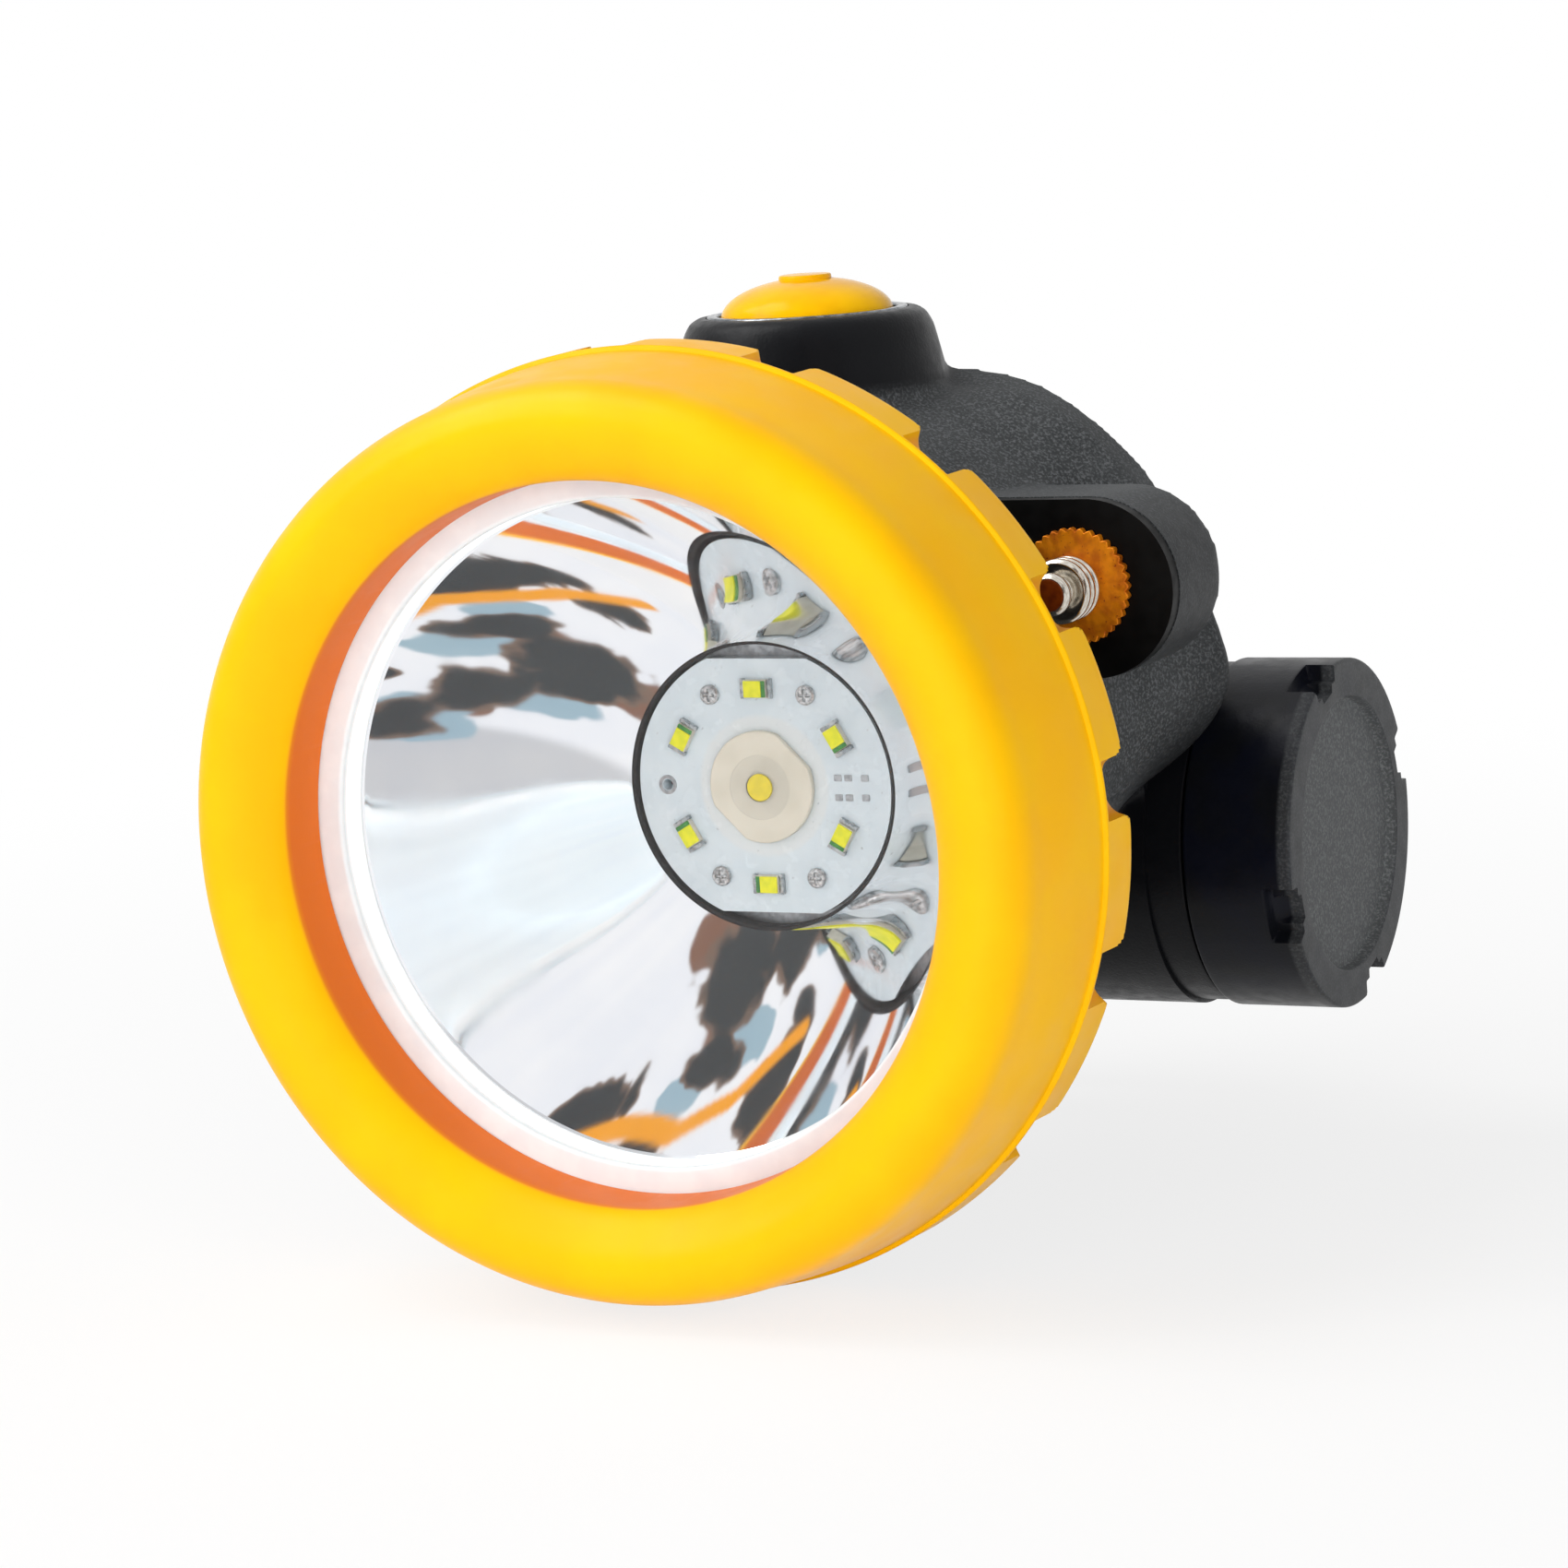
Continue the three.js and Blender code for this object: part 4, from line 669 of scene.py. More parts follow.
# Each finish: its maker and what that takes. A clear one has its alpha and its tint. A mottled one has two colours,
# the size of its clouds, low and high roughness, and the size and height of its grain. A brushed one has two
# colours, low and high roughness, how its lines are stretched, and their size and height.
FINISHES = {
    **{maker.__name__: (maker,) for maker in (yellow_plastic, button_gloss, housing_plastic, cap_plastic,
                                              mirror_chrome, white_rubber, board_lacquer, toothed_brass)},
    "clear_lens": (clear_plastic, 0.02, 0xEEF1F3),
    "clear_dome": (clear_plastic, 0.03, 0xEEF1E0),
    "black_rubber": (mottled, 0x0D0D0E, 0x171718, 1.5, 0.6, 0.8, 0.2, 0.02),
    "face_black": (mottled, 0x050505, 0x090909, 3.0, 0.45, 0.6, 0.3, 0.008, 0.12),
    "switch_black": (mottled, 0x17181C, 0x1F2024, 1.0, 0.4, 0.55, 0.15, 0.01),
    "circuit_green": (mottled, 0x2B5A3C, 0x234C33, 2.0, 0.3, 0.5, 0.2, 0.01),
    "cell_wrap": (mottled, 0x2A5F9E, 0x24538C, 6.0, 0.3, 0.45, 0.3, 0.01),
    "lead_cover": (mottled, 0x9C1F1A, 0x861712, 1.2, 0.4, 0.55, 0.1, 0.01),
    "stud_copper": (mottled, 0x9A4106, 0x7C2D02, 0.8, 0.35, 0.5, 0.2, 0.01, 0.5, 0.6),
    "emitter_ceramic": (mottled, "emitter", 0xDAD7C6, 3.0, 0.3, 0.45, 0.3, 0.01),
    "phosphor": (mottled, 0xFFEA00, 0xF2DF00, 0.5, 0.4, 0.55, 0.12, 0.02),
    "led_case": (mottled, 0xD9D7C8, 0xC8C6B6, 0.6, 0.3, 0.45, 0.15, 0.01),
    "led_mark": (mottled, 0x3F8F3A, 0x2F7A33, 0.4, 0.4, 0.5, 0.1, 0.01),
    "led_window": (mottled, "phosphor", 0xDDE300, 0.5, 0.35, 0.5, 0.12, 0.01),
    "led_ends": (brushed_metal, 0x8F9698, 0xC6CACB, 0.2, 0.4, (1, 1, 1), 0.5),
    "tinned_pads": (brushed_metal, 0xB9BCBE, 0x9EA2A5, 0.3, 0.5),
    "screw_steel": (brushed_metal, 0xE4E6E6, 0x9FA3A4, 0.3, 0.55, (1, 1, 1), 0.25, 0.02),
    "dark_nickel": (brushed_metal, 0x8A8E92, 0x5A5E62, 0.12, 0.3, (1, 1, 1), 0.6),
    "bright_nickel": (brushed_metal, 0xDAD5CB, 0xBDB5A8, 0.1, 0.22, (1, 6, 1), 0.5),
    "clip_steel": (brushed_metal, 0xC4C6C8, 0xA9ACAF, 0.2, 0.36, (1, 1, 0.08), 0.35, 0.008),
    "rivet_steel": (brushed_metal, 0xC9C7C2, 0xA5A39F, 0.18, 0.34, (1, 1, 1), 0.5),
    "spring_steel": (brushed_metal, 0x9A9EA2, 0x84888C, 0.2, 0.4),
    "cast_aluminium": (brushed_metal, 0xB4B8BB, 0x9DA1A4, 0.3, 0.5, (1, 1, 1), 0.5),
    "contact_brass": (brushed_metal, 0xCC9A3E, 0xB28230, 0.25, 0.45),
}


def look(name):
    """A finish's material, made the first time it is asked for. The CAD's own materials have plain names."""
    full_name = name + "_look"
    found = bpy.data.materials.get(full_name)
    if found is None:
        made = Finish(full_name)
        maker, *numbers = FINISHES[name]
        maker(made, *numbers)
        found = made.material
    return found


# ---- Settings ----


def number_of(name, description, default, **limits):
    return FloatProperty(name=name, description=description, default=default, **limits)


def size_of(name, description, default_mm):
    return number_of(name, description, default_mm * MM, min=0, unit="LENGTH", precision=5)


def angle_of(name, description, degrees):
    return number_of(name, description, math.radians(degrees), subtype="ANGLE")


def power_of(name, description, watts):
    return number_of(name, description, watts, unit="POWER")


def count_of(name, description, default, least):
    return IntProperty(name=name, description=description, default=default, min=least)


def colour_of(name, description, code):
    return FloatVectorProperty(
        name=name, description=description, default=linear(code), min=0, max=1, size=3, subtype="COLOR",
    )


class CapLampSizes(bpy.types.PropertyGroup):
    """Sizes of the pieces that a user may change."""

    notch_count: count_of("Grip notches", "Notches round the bezel's rear edge", 16, 3)
    notch_depth: size_of("Notch depth", "How far a grip notch goes in from the bezel's rim", 1.9)
    notch_length: size_of("Notch length", "Length of a grip notch along the beam", 4.0)
    washer_teeth: count_of("Washer teeth", "Teeth round the washer's edge", 36, 8)
    side_led_count: count_of("Side LEDs", "Small LEDs round the main emitter", 6, 1)
    cap_notch_count: count_of("Cap notches", "Key notches round the battery cap", 4, 2)
    housing_voxel: size_of("Housing fineness", "Size of the cells that blend the housing's corners", 0.5)


class CapLampColours(bpy.types.PropertyGroup):
    """Colours of the finishes that a user may change."""

    yellow: colour_of("Yellow", "Bezel and button plastic", 0xFFBC00)
    yellow_light: colour_of("Light yellow", "Lighter clouds in the yellow plastic", 0xFFC200)
    # Painted shade: the orange that the yellow plastic is painted with on the deep lip and the notch floors.
    painted_shade_orange: colour_of("Lip orange", "Yellow plastic where it lies deep", 0xE47420)
    housing_grey: colour_of("Housing grey", "Grained plastic of the lamp body", 0x3C3E3F)
    housing_dark: colour_of("Housing dark grey", "Darker clouds in the lamp body", 0x323435)
    housing_speck: colour_of("Housing speck", "Light specks in the grained plastic", 0x66686A)
    # Also painted as shade on the housing round the tube and to the right of the ear.
    satin_black: colour_of("Satin black", "Smooth plastic of turret, tube and cap", 0x0D0E11)
    cap_navy: colour_of("Cap black", "Darker clouds in the cap's side", 0x0B0D17)
    board: colour_of("LED board", "Lacquer of the LED board", 0xDAE8EE)
    board_shade: colour_of("LED board shade", "Darker clouds in the lacquer", 0xD2E1E8)
    emitter: colour_of("Emitter", "Package of the main emitter", 0xE2DFCF)
    phosphor: colour_of("Phosphor", "Light-giving face of the LEDs", 0xF0F000)
    brass: colour_of("Brass", "Toothed washer", 0xF0900C)
    brass_dark: colour_of("Dark brass", "Darker clouds in the washer", 0xCC6C0A)
    floor: colour_of("Floor", "Plain floor under the lamp", 0xF6F6F6)


class CapLampStage(bpy.types.PropertyGroup):
    """Camera and light."""

    azimuth: angle_of("Azimuth", "Turn of the camera round the lamp", 26.86)
    elevation: angle_of("Elevation", "Height of the camera as an angle", 9.23)
    roll: angle_of("Roll", "Tilt of the camera about its line of sight", -3.83)
    distance: number_of("Distance", "From the camera to the point it looks at", 0.35513, unit="LENGTH")
    focal_length: number_of("Focal length", "Length of the camera's lens", 112.21, unit="CAMERA")
    aim: FloatVectorProperty(
        name="Aim", description="Point looked at, from the beam opening", default=(0.01566, 0, 0.00517),
        subtype="TRANSLATION", unit="LENGTH", size=3,
    )
    ambient: number_of("Ambient", "Level of the light from all round", 0.2, min=0, subtype="FACTOR")
    key_power: power_of("Key", "Power of the large lamp on the left", 1.7)
    front_power: power_of("Front", "Power of the lamp in front", 1.5)
    fill_power: power_of("Fill", "Power of the lamp on the right", 1.6)
    top_power: power_of("Top", "Power of the overhead lamp", 2.2)


# ---- Bezel, lens and mirror ----


def crown_outline(steps=26):
    """The front face, from the opening's edge over the crown and round the nose."""
    corners = np.array([
        (OPENING_R, 0),
        (OPENING_R + 0.35 * (NOSE_R - OPENING_R), -1.25 * CROWN_HEIGHT),
        (NOSE_R - 0.15, -1.35 * CROWN_HEIGHT),
        (NOSE_R + 0.05, 0.4 * CROWN_HEIGHT),
    ])
    return [tuple(np.array([(1 - t) ** 3, 3 * t * (1 - t) ** 2, 3 * t * t * (1 - t), t**3]) @ corners)
            for t in np.linspace(0, 1, steps)]


def bezel_outline():
    """The bezel's section: crown, flared side, land with its fine step, rear face, bore and lens pocket."""
    crown = [(r + 0.12 * max(0, 1 - k / 2), y) for k, (r, y) in enumerate(crown_outline())]
    land_r = RIM_R - 0.1
    side = np.linspace((NOSE_R + 0.05, 0.4 * CROWN_HEIGHT), (RIM_R - 0.52, LAND_FRONT_Y - 0.35), 12)[1:]
    swell = [(r + 0.12 * math.sin(math.pi * k / len(side)), y) for k, (r, y) in enumerate(side)]
    step = [(RIM_R - 0.45, LAND_FRONT_Y - 0.22), (RIM_R - 0.16, LAND_FRONT_Y - 0.1), (land_r, LAND_FRONT_Y)]
    depths = (10.5, 10.58, 10.66, 10.74, 10.82, 10.95, 11.3, 12.0, 12.8, 13.4, 13.8)
    land = [(land_r + 0.1 * (y - LAND_FRONT_Y) / 3.7, y) for y in depths]
    rear = rounded([
        (RIM_R, 13.9, 0), (RIM_R, BEZEL_LENGTH, 0.45), (BORE_R, BEZEL_LENGTH, 0.35), (BORE_R, 13.6, 0),
    ], steps=5, closed=False)
    inside = rounded([
        (BORE_R, 13.0, 0), (BORE_R, MOUTH_Y - 0.25, 0.1), (SEAL_POCKET_R, MOUTH_Y - 0.25, 0.1),
        (SEAL_POCKET_R, LIP_DEPTH, 0.1), (OPENING_R, LIP_DEPTH, 0.3), (OPENING_R, 0.9, 0),
    ], closed=False)
    lip = [(OPENING_R + 0.02, 0.45), (OPENING_R + 0.08, 0.15)]
    return crown + swell + step + land + rear + inside + lip


def build_bezel(sizes):
    """The screwed ring, drawn as one share with one grip notch and repeated round the beam."""
    count = sizes.notch_count
    depth, front = sizes.notch_depth / MM, BEZEL_LENGTH - sizes.notch_length / MM
    floor_half, top_half = 1.1, 2.25
    wall = [floor_half + (top_half - floor_half) * math.sin(math.pi / 2 * k / 7) for k in range(8)]
    offsets = both_sides([
        0.4, 0.8, *wall, top_half + 0.12, top_half + 0.35, top_half + 0.8, 3.6,
        *np.linspace(4.3, math.pi * RIM_R / count, 5),
    ])

    def carve(radius, y, offset):
        if radius < BORE_R + 0.2 or y < front - 0.2:
            return radius, y
        corner = 1.0 - math.sqrt(1 - min(1, max(0, (y - BEZEL_LENGTH + 1.0))) ** 2)
        across = min(1, max(0, (abs(offset) - floor_half) / (top_half + corner - floor_half)))
        depth_here = depth * (0.4 * (1 - across) + 0.6 * math.sqrt(1 - across**2))
        along = float(smooth_step(front - 0.05, front + 0.28, y))
        return (min(radius, RIM_R - depth_here * along) if along > 0 else radius), y

    piece = raw_object("bezel_shell", turned_share(bezel_outline(), offsets, RIM_R, carve))
    repeat_round(piece, count, BEZEL_TURN_DEG, (0, 0, 0), "Y", "yellow_plastic")
    x, y, z = vertex_places(piece)
    reach = np.hypot(x, z)
    # Painted shade: the lip deep in the opening and the floors of the notches are painted orange, as the yellow
    # plastic looks in shade.
    lip = smooth_step(0.05, 0.6, y) * smooth_step(28.4, 27.9, reach)
    notch = 0.4 * smooth_step(RIM_R - 0.15, RIM_R - 0.9, reach) * smooth_step(front - 0.1, front + 0.2, y)
    paint(piece, "painted_deep_shade", np.maximum(lip, notch))
    finish_piece(piece, "yellow_plastic", "yellow_plastic", "bezel_ring", body="bezel")


def build_lens_and_seal():
    """The white seal and the clear front disc that it holds."""
    skirt_r, lip_r, groove_r = LENS_R + 0.25, OPENING_R - 1.9, MOUTH_R + 0.05
    front, step, lens_rear, rear = 5.3, 6.2, 7.96, MOUTH_Y - 0.08
    seal = raw_object("seal_ring", soft_turned([
        (lip_r, front, 0.35), (skirt_r + 1.3, front, 0.2), (skirt_r + 1.3, rear, 0.1), (groove_r, rear, 0.05),
        (groove_r, lens_rear, 0.05), (skirt_r, lens_rear, 0.02), (skirt_r, step, 0.1), (27.6, step, 0),
        (26.8, step, 0), (26.4, step, 0), (26, step, 0), (lip_r, step, 0.3),
    ], 192))
    x, y, z = vertex_places(seal)
    reach = np.hypot(x, z)
    # Painted glow: the seal's inner side behind the lens gives off light of its own, most on the skirt.
    paint(seal, "painted_glow", smooth_step(5.6, 6.0, y) * smooth_step(skirt_r + 0.6, skirt_r + 0.2, reach)
          * (0.85 + 0.15 * smooth_step(25.9, 26.8, reach)))
    finish_piece(seal, "white_rubber", "white_rubber", "lens_seal", body="lens_carrier")
    disc = raw_object("lens_disc", soft_turned([
        (0, LENS_FRONT_Y, 0), (LENS_R, LENS_FRONT_Y), (LENS_R, LENS_REAR_Y), (0, LENS_REAR_Y, 0),
    ], 160))
    finish_piece(disc, "clear_lens", "clear_lens", "front_lens", body="lens_carrier")


def mirror_depth(radius):
    """Depth of the mirror's surface: a parabola, a quarter of the way to a cone and a little steeper at both ends."""
    middle_r, half = (MOUTH_R + THROAT_R) / 2, (MOUTH_R - THROAT_R) / 2
    place = (radius - middle_r) / half
    even = (MOUTH_R - radius) * middle_r / (2 * FOCUS)
    bend = (1 - CONE_SHARE) * half**2 * (1 - place**2) / (4 * FOCUS)
    return MOUTH_Y + even + bend - END_STEEPNESS * half * (place**3 - place)


def build_mirror():
    """The deep mirror: a smooth bowl with a rolled mouth and a plain shell behind it."""
    flange_r, flange_rear, wall = 32.25, MOUTH_Y + 1.1, 1.2
    inner = [(r, mirror_depth(r)) for r in np.linspace(THROAT_R, MOUTH_R - 0.15, 56)]
    flange = rounded([
        (MOUTH_R - 0.1, mirror_depth(MOUTH_R - 0.1), 0), (MOUTH_R + 0.35, MOUTH_Y, 0.3), (flange_r, MOUTH_Y, 0.2),
        (flange_r, flange_rear, 0.2), (MOUTH_R + 1.3, flange_rear, 0),
    ], steps=5, closed=False)
    outer = [(r + wall, mirror_depth(r)) for r in np.linspace(MOUTH_R - 0.9, THROAT_R, 24)]
    bowl = raw_object("mirror_bowl", turned(inner + flange + outer, 192))
    finish_piece(bowl, "mirror_chrome", "reflector_chrome", "reflector", even=False)


# ---- LED board ----


def flatted_disc(radius, flat, steps=48):
    """A round outline with its top and bottom cut flat."""
    corner = math.acos(flat / radius)
    right = np.linspace(-math.pi / 2 + corner, math.pi / 2 - corner, steps)
    return [(radius * math.cos(a), radius * math.sin(a)) for a in (*right, *(right + math.pi))]


def build_board():
    """The white round board with its wire hole, its pads and the black ring in the mirror's throat."""
    at_hole = {"centre": (WIRE_HOLE_X, 0)}
    plate = raw_object("board_plate", prism(flatted_disc(BOARD_R, BOARD_FLAT), BOARD_Y, BOARD_Y + BOARD_THICKNESS))
    joined_by(plate, "DIFFERENCE", cylinder(WIRE_HOLE_R, BOARD_Y - 1, BOARD_Y + 3, 32, **at_hole))
    tidy(plate.data)
    soften(plate, 0.1, 2)
    finish_piece(plate, "board_lacquer", "white_board", "led_board")

    half_width, half_height, pad_rear = 0.32, 0.26, BOARD_Y + 0.1
    pad_places = [(x, z) for x in (6.55, 7.45, 8.9) for z in (0.72, -0.85)]
    pads = [prism(rounded(rectangle(x - half_width, z - half_height, x + half_width, z + half_height), 0.08),
                  BOARD_Y - 0.06, pad_rear) for x, z in pad_places]
    hole_ring = soft_turned(rectangle(0.5, BOARD_Y - 0.05, 0.78, pad_rear), 40, radius=0.02, **at_hole)
    finish_piece(raw_object("board_pads", together(*pads, hole_ring)), "tinned_pads", "nickel")

    collar = rectangle(BOARD_R + 0.25, THROAT_FRONT_Y, HEAT_SINK_R, THROAT_REAR_Y)
    ring = raw_object("throat_collar", soft_turned(collar, 128, radius=0.2))
    finish_piece(ring, "black_rubber", "black_rubber", "throat_ring")


def build_emitter():
    """The main emitter: a round package with two flats, its phosphor and a clear dome."""
    cos45 = math.sqrt(0.5)
    outline = [(cos45 * (x + z), cos45 * (z - x)) for x, z in flatted_disc(EMITTER_R, EMITTER_FLAT, 28)]
    package = soften(raw_object("emitter_package", prism(outline, LED_FRONT_Y, LED_REAR_Y)), 0.12)
    finish_piece(package, "emitter_ceramic", "emitter_white", "main_led_body")
    chip_r, chip_front, chip_rear = 1.1, LED_FRONT_Y - 0.25, LED_FRONT_Y - 0.05
    chip = raw_object("emitter_chip", soft_turned([
        (0, chip_front, 0), (chip_r, chip_front, 0.12), (chip_r, chip_rear, 0.02), (0, chip_rear, 0),
    ], 48))
    finish_piece(chip, "phosphor", "phosphor", "main_led_chip")
    dome_r, dome_height, hollow_r, hollow_y = 2.6, 1.56, chip_r + 0.03, chip_front - 0.03
    arc = [(dome_r * math.cos(a), chip_rear - dome_height * math.sin(a)) for a in np.linspace(0, math.pi / 2, 20)]
    dome = raw_object("emitter_dome", turned(
        [(hollow_r, chip_rear), *arc[:-1], (0, arc[-1][1]), (0, hollow_y), (hollow_r, hollow_y)], 64))
    finish_piece(dome, "clear_dome", "clear_lens", "main_led_dome")


def build_side_leds(sizes):
    """Small LEDs on a circle: case, metal ends, mark and phosphor window, each repeated round the beam."""
    front, rear = LED_FRONT_Y, LED_REAR_Y
    for name, spans, half, corner_r, from_y, to_y, edge, finish, slot, nodes in (
        ("side_led_cases", [(-0.98, 0.98)], 0.72, 0.06, front, rear, 0.05, "led_case", "emitter_white",
         [f"side_led_{i + 1}" for i in range(6)]),
        ("side_led_ends", [(-1.35, -1.0), (1.0, 1.35)], 0.8, 0, rear - 0.42, rear, 0.04, "led_ends", "nickel", []),
        ("side_led_marks", [(0.62, 0.96)], 0.66, 0.06, front - 0.06, front + 0.1, 0.02, "led_mark", "green_board", []),
        ("side_led_windows", [(-0.92, 0.6)], 0.66, 0.06, front - 0.12, front + 0.1, 0.04, "led_window", "phosphor",
         []),
    ):
        outlines = [rectangle(low, LED_CIRCLE_R - half, high, LED_CIRCLE_R + half) for low, high in spans]
        shape = together(*(prism(rounded(outline, corner_r, 2), from_y, to_y) for outline in outlines))
        piece = soften(raw_object(name, shape), edge, 2)
        repeat_round(piece, sizes.side_led_count, 0, (0, 0, 0), "Y", finish)
        finish_piece(piece, finish, slot, *nodes)


def build_board_screws():
    """Four small screws with cross slots, set in two rows and two columns on the board."""
    sides, rings = 48, 12
    rear = LED_REAR_Y
    head_height, crown, edge_drop, slot_depth = 0.44, 0.12, 0.1, 0.16

    def head_face(radius, x, z):
        edge = float(smooth_step(0.7, SCREW_HEAD_R, radius))
        height = head_height - crown * (radius / SCREW_HEAD_R) ** 2 - edge_drop * edge
        slot = smooth_step(0.13, 0.08, min(abs(x), abs(z))) * smooth_step(0.55, 0.48, radius)
        return rear - height + slot_depth * float(slot)

    section = [(SCREW_HEAD_R * k / rings, None) for k in range(rings + 1)]
    section += [(SCREW_HEAD_R, rear), (SCREW_SHANK_R, rear), (SCREW_SHANK_R, rear + 3.4), (0, rear + 3.8)]
    points = []
    for radius, y in section:
        for angle in (math.tau * j / sides for j in range(sides)):
            x, z = radius * math.cos(angle), radius * math.sin(angle)
            points.append((x, head_face(radius, x, z) if y is None else y, z))
    rows = np.arange(len(points)).reshape(-1, sides).tolist()
    head = raw_object("board_screws", (points, quilt(rows)))
    head.data.transform(Matrix.Translation(-BEAM))
    from_top = math.radians(30)
    width, height = 2 * SCREW_CIRCLE_R * math.sin(from_top), 2 * SCREW_CIRCLE_R * math.cos(from_top)
    set_in_rows(head, 2, 2, width, height, BEAM / MM, "screw_steel")
    finish_piece(head, "screw_steel", "nickel", *(f"board_screw_{i + 1}" for i in range(4)))


# ---- Lamp body ----


def back_share(y):
    """How far back a depth lies between the neck and the end of the dome."""
    return (y - NECK_REAR_Y) / (RIM_REAR_Y + DOME_DEPTH - NECK_REAR_Y)


def skin_radius(y, angle, upper, top_z):
    """Radius of the body's skin at a depth and an angle from the top, as the CAD draws it."""
    turn = abs(math.degrees(angle))
    behind = float(smooth_step(RIM_FRONT_Y, RIM_REAR_Y, y))
    side = upper - 1.6 * behind * float(smooth_step(48, 66, turn))
    lower = WAIST_R * math.sqrt(max(0, 1 - back_share(y) ** 2))
    round_r = side + (lower - side) * float(smooth_step(77, 106, turn))
    if turn > 89:
        return round_r
    flat = top_z / math.cos(angle)
    sharpness = 30
    return (round_r**-sharpness + flat**-sharpness) ** (-1 / sharpness)


def skin_rings():
    """(depth, upper radius, top height) of the rings that the skin is drawn through."""
    rings = []
    for y in np.linspace(NECK_REAR_Y - 1, RIM_FRONT_Y, 52):
        flare = max(0, (y - NECK_REAR_Y) / (RIM_FRONT_Y - NECK_REAR_Y))
        rings.append((y, WAIST_R + (SKIN_RIM_R - WAIST_R) * flare**3, RIM_TOP_FRONT_Z))
    for t in np.linspace(0, 1, 9)[1:]:
        top = RIM_TOP_FRONT_Z + t * (RIM_TOP_REAR_Z - RIM_TOP_FRONT_Z)
        rings.append((RIM_FRONT_Y + t * (RIM_REAR_Y - RIM_FRONT_Y), SKIN_RIM_R + 0.1 * t, top))
    for k in range(30):
        back = math.radians(90 * k / 30)
        rings.append((RIM_REAR_Y + DOME_DEPTH * math.sin(back), DOME_R * math.cos(back), RIM_TOP_REAR_Z - 1.3))
    return rings


def skin(margin=0.0, columns=224):
    """The closed skin of the lamp body, grown by a margin."""
    points = []
    for y, upper, top_z in skin_rings():
        for k in range(columns):
            angle = (k + 0.5) / columns * 2 * math.pi - math.pi
            radius = skin_radius(max(y, NECK_REAR_Y), angle, upper, top_z) + margin
            points.append((radius * math.sin(angle), y, radius * math.cos(angle)))
    rows = np.arange(len(points)).reshape(-1, columns).tolist()
    front, back = len(points), len(points) + 1
    points += [(0, points[0][1], 0), (0, points[-1][1], 0)]
    return points, quilt([[front] * columns, *rows, [back] * columns])


def ear_outline(inset=0.0, steps=48):
    """The ear: a round end with a flat top and bottom that run into the body."""
    radius = EAR_R - inset
    return [(EAR_X / 2, EAR_Z + radius), (EAR_X / 2, EAR_Z - radius)] + [
        (EAR_X + radius * math.cos(a), EAR_Z + radius * math.sin(a))
        for a in np.linspace(-math.pi / 2, math.pi / 2, steps)
    ]


def housing_moulding(cell_size):
    """Skin, ear, turret, tube and clip pad as one body, with soft corners where they meet."""
    low_z = TURRET_TOP_Z - 12
    turret = soft_turned([
        (0, low_z, 0), (TURRET_R, low_z, 0), (TURRET_R, TURRET_TOP_Z - 5, 0.6),
        (TURRET_TOP_R, TURRET_TOP_Z - 1.4, 0.4), (TURRET_TOP_R - 0.8, TURRET_TOP_Z, 0.7), (0, TURRET_TOP_Z, 0),
    ], 144, *TURRET_AXIS)
    tube = soft_turned([
        (0, TUBE_LEFT_X, 0), (TUBE_R, TUBE_LEFT_X, 1.8), (TUBE_R, TUBE_RIGHT_X + 1, 0), (0, TUBE_RIGHT_X + 1, 0),
    ], 160, *TUBE_AXIS, steps=8)
    pad = prism(rectangle(-CLIP_WIDTH / 2, TUBE.z - CLIP_BASE_HEIGHT / 2, CLIP_WIDTH / 2,
                          TUBE.z + CLIP_BASE_HEIGHT / 2), TUBE.y + 5, CLIP_PAD_Y + 0.1)
    ear = prism(ear_outline(), EAR_FRONT_Y, EAR_REAR_Y)
    body = raw_object("housing_moulding", together(skin(), ear, turret, tube, pad))
    cells = body.modifiers.new("cells", "REMESH")
    cells.mode = "VOXEL"
    cells.voxel_size = cell_size
    blend = body.modifiers.new("blend", "SMOOTH")
    blend.factor = 0.5
    blend.iterations = 3
    return settle(body)


def housing_rings():
    """The neck with its seal groove, and the collar and spigot that the battery cap goes over."""

    def groove(radius, start, end, depth):
        return [(radius, start, 0.05), (radius - depth, start, 0.05), (radius - depth, end, 0.05), (radius, end, 0.05)]

    neck_back_y, collar_left_x = NECK_REAR_Y + 0.8, 18
    neck = soft_turned([
        (0, NECK_FRONT_Y, 0), (NECK_R, NECK_FRONT_Y, 0.2), *groove(NECK_R, 10.77, 12.57, 1.5),
        (NECK_R, NECK_REAR_Y, 0.2), (WAIST_R - 0.5, neck_back_y, 0), (0, neck_back_y, 0),
    ], 192)
    spigot = soft_turned([
        (0, collar_left_x, 0), (COLLAR_R, collar_left_x, 0), (COLLAR_R, COLLAR_RIGHT_X, 0.2),
        (SPIGOT_R, COLLAR_RIGHT_X, 0.05), *groove(SPIGOT_R, 29.45, 30.85, 1.1), (SPIGOT_R, CELL_RIGHT_X, 0.2),
        (0, CELL_RIGHT_X, 0),
    ], 160, *TUBE_AXIS)
    return neck, spigot


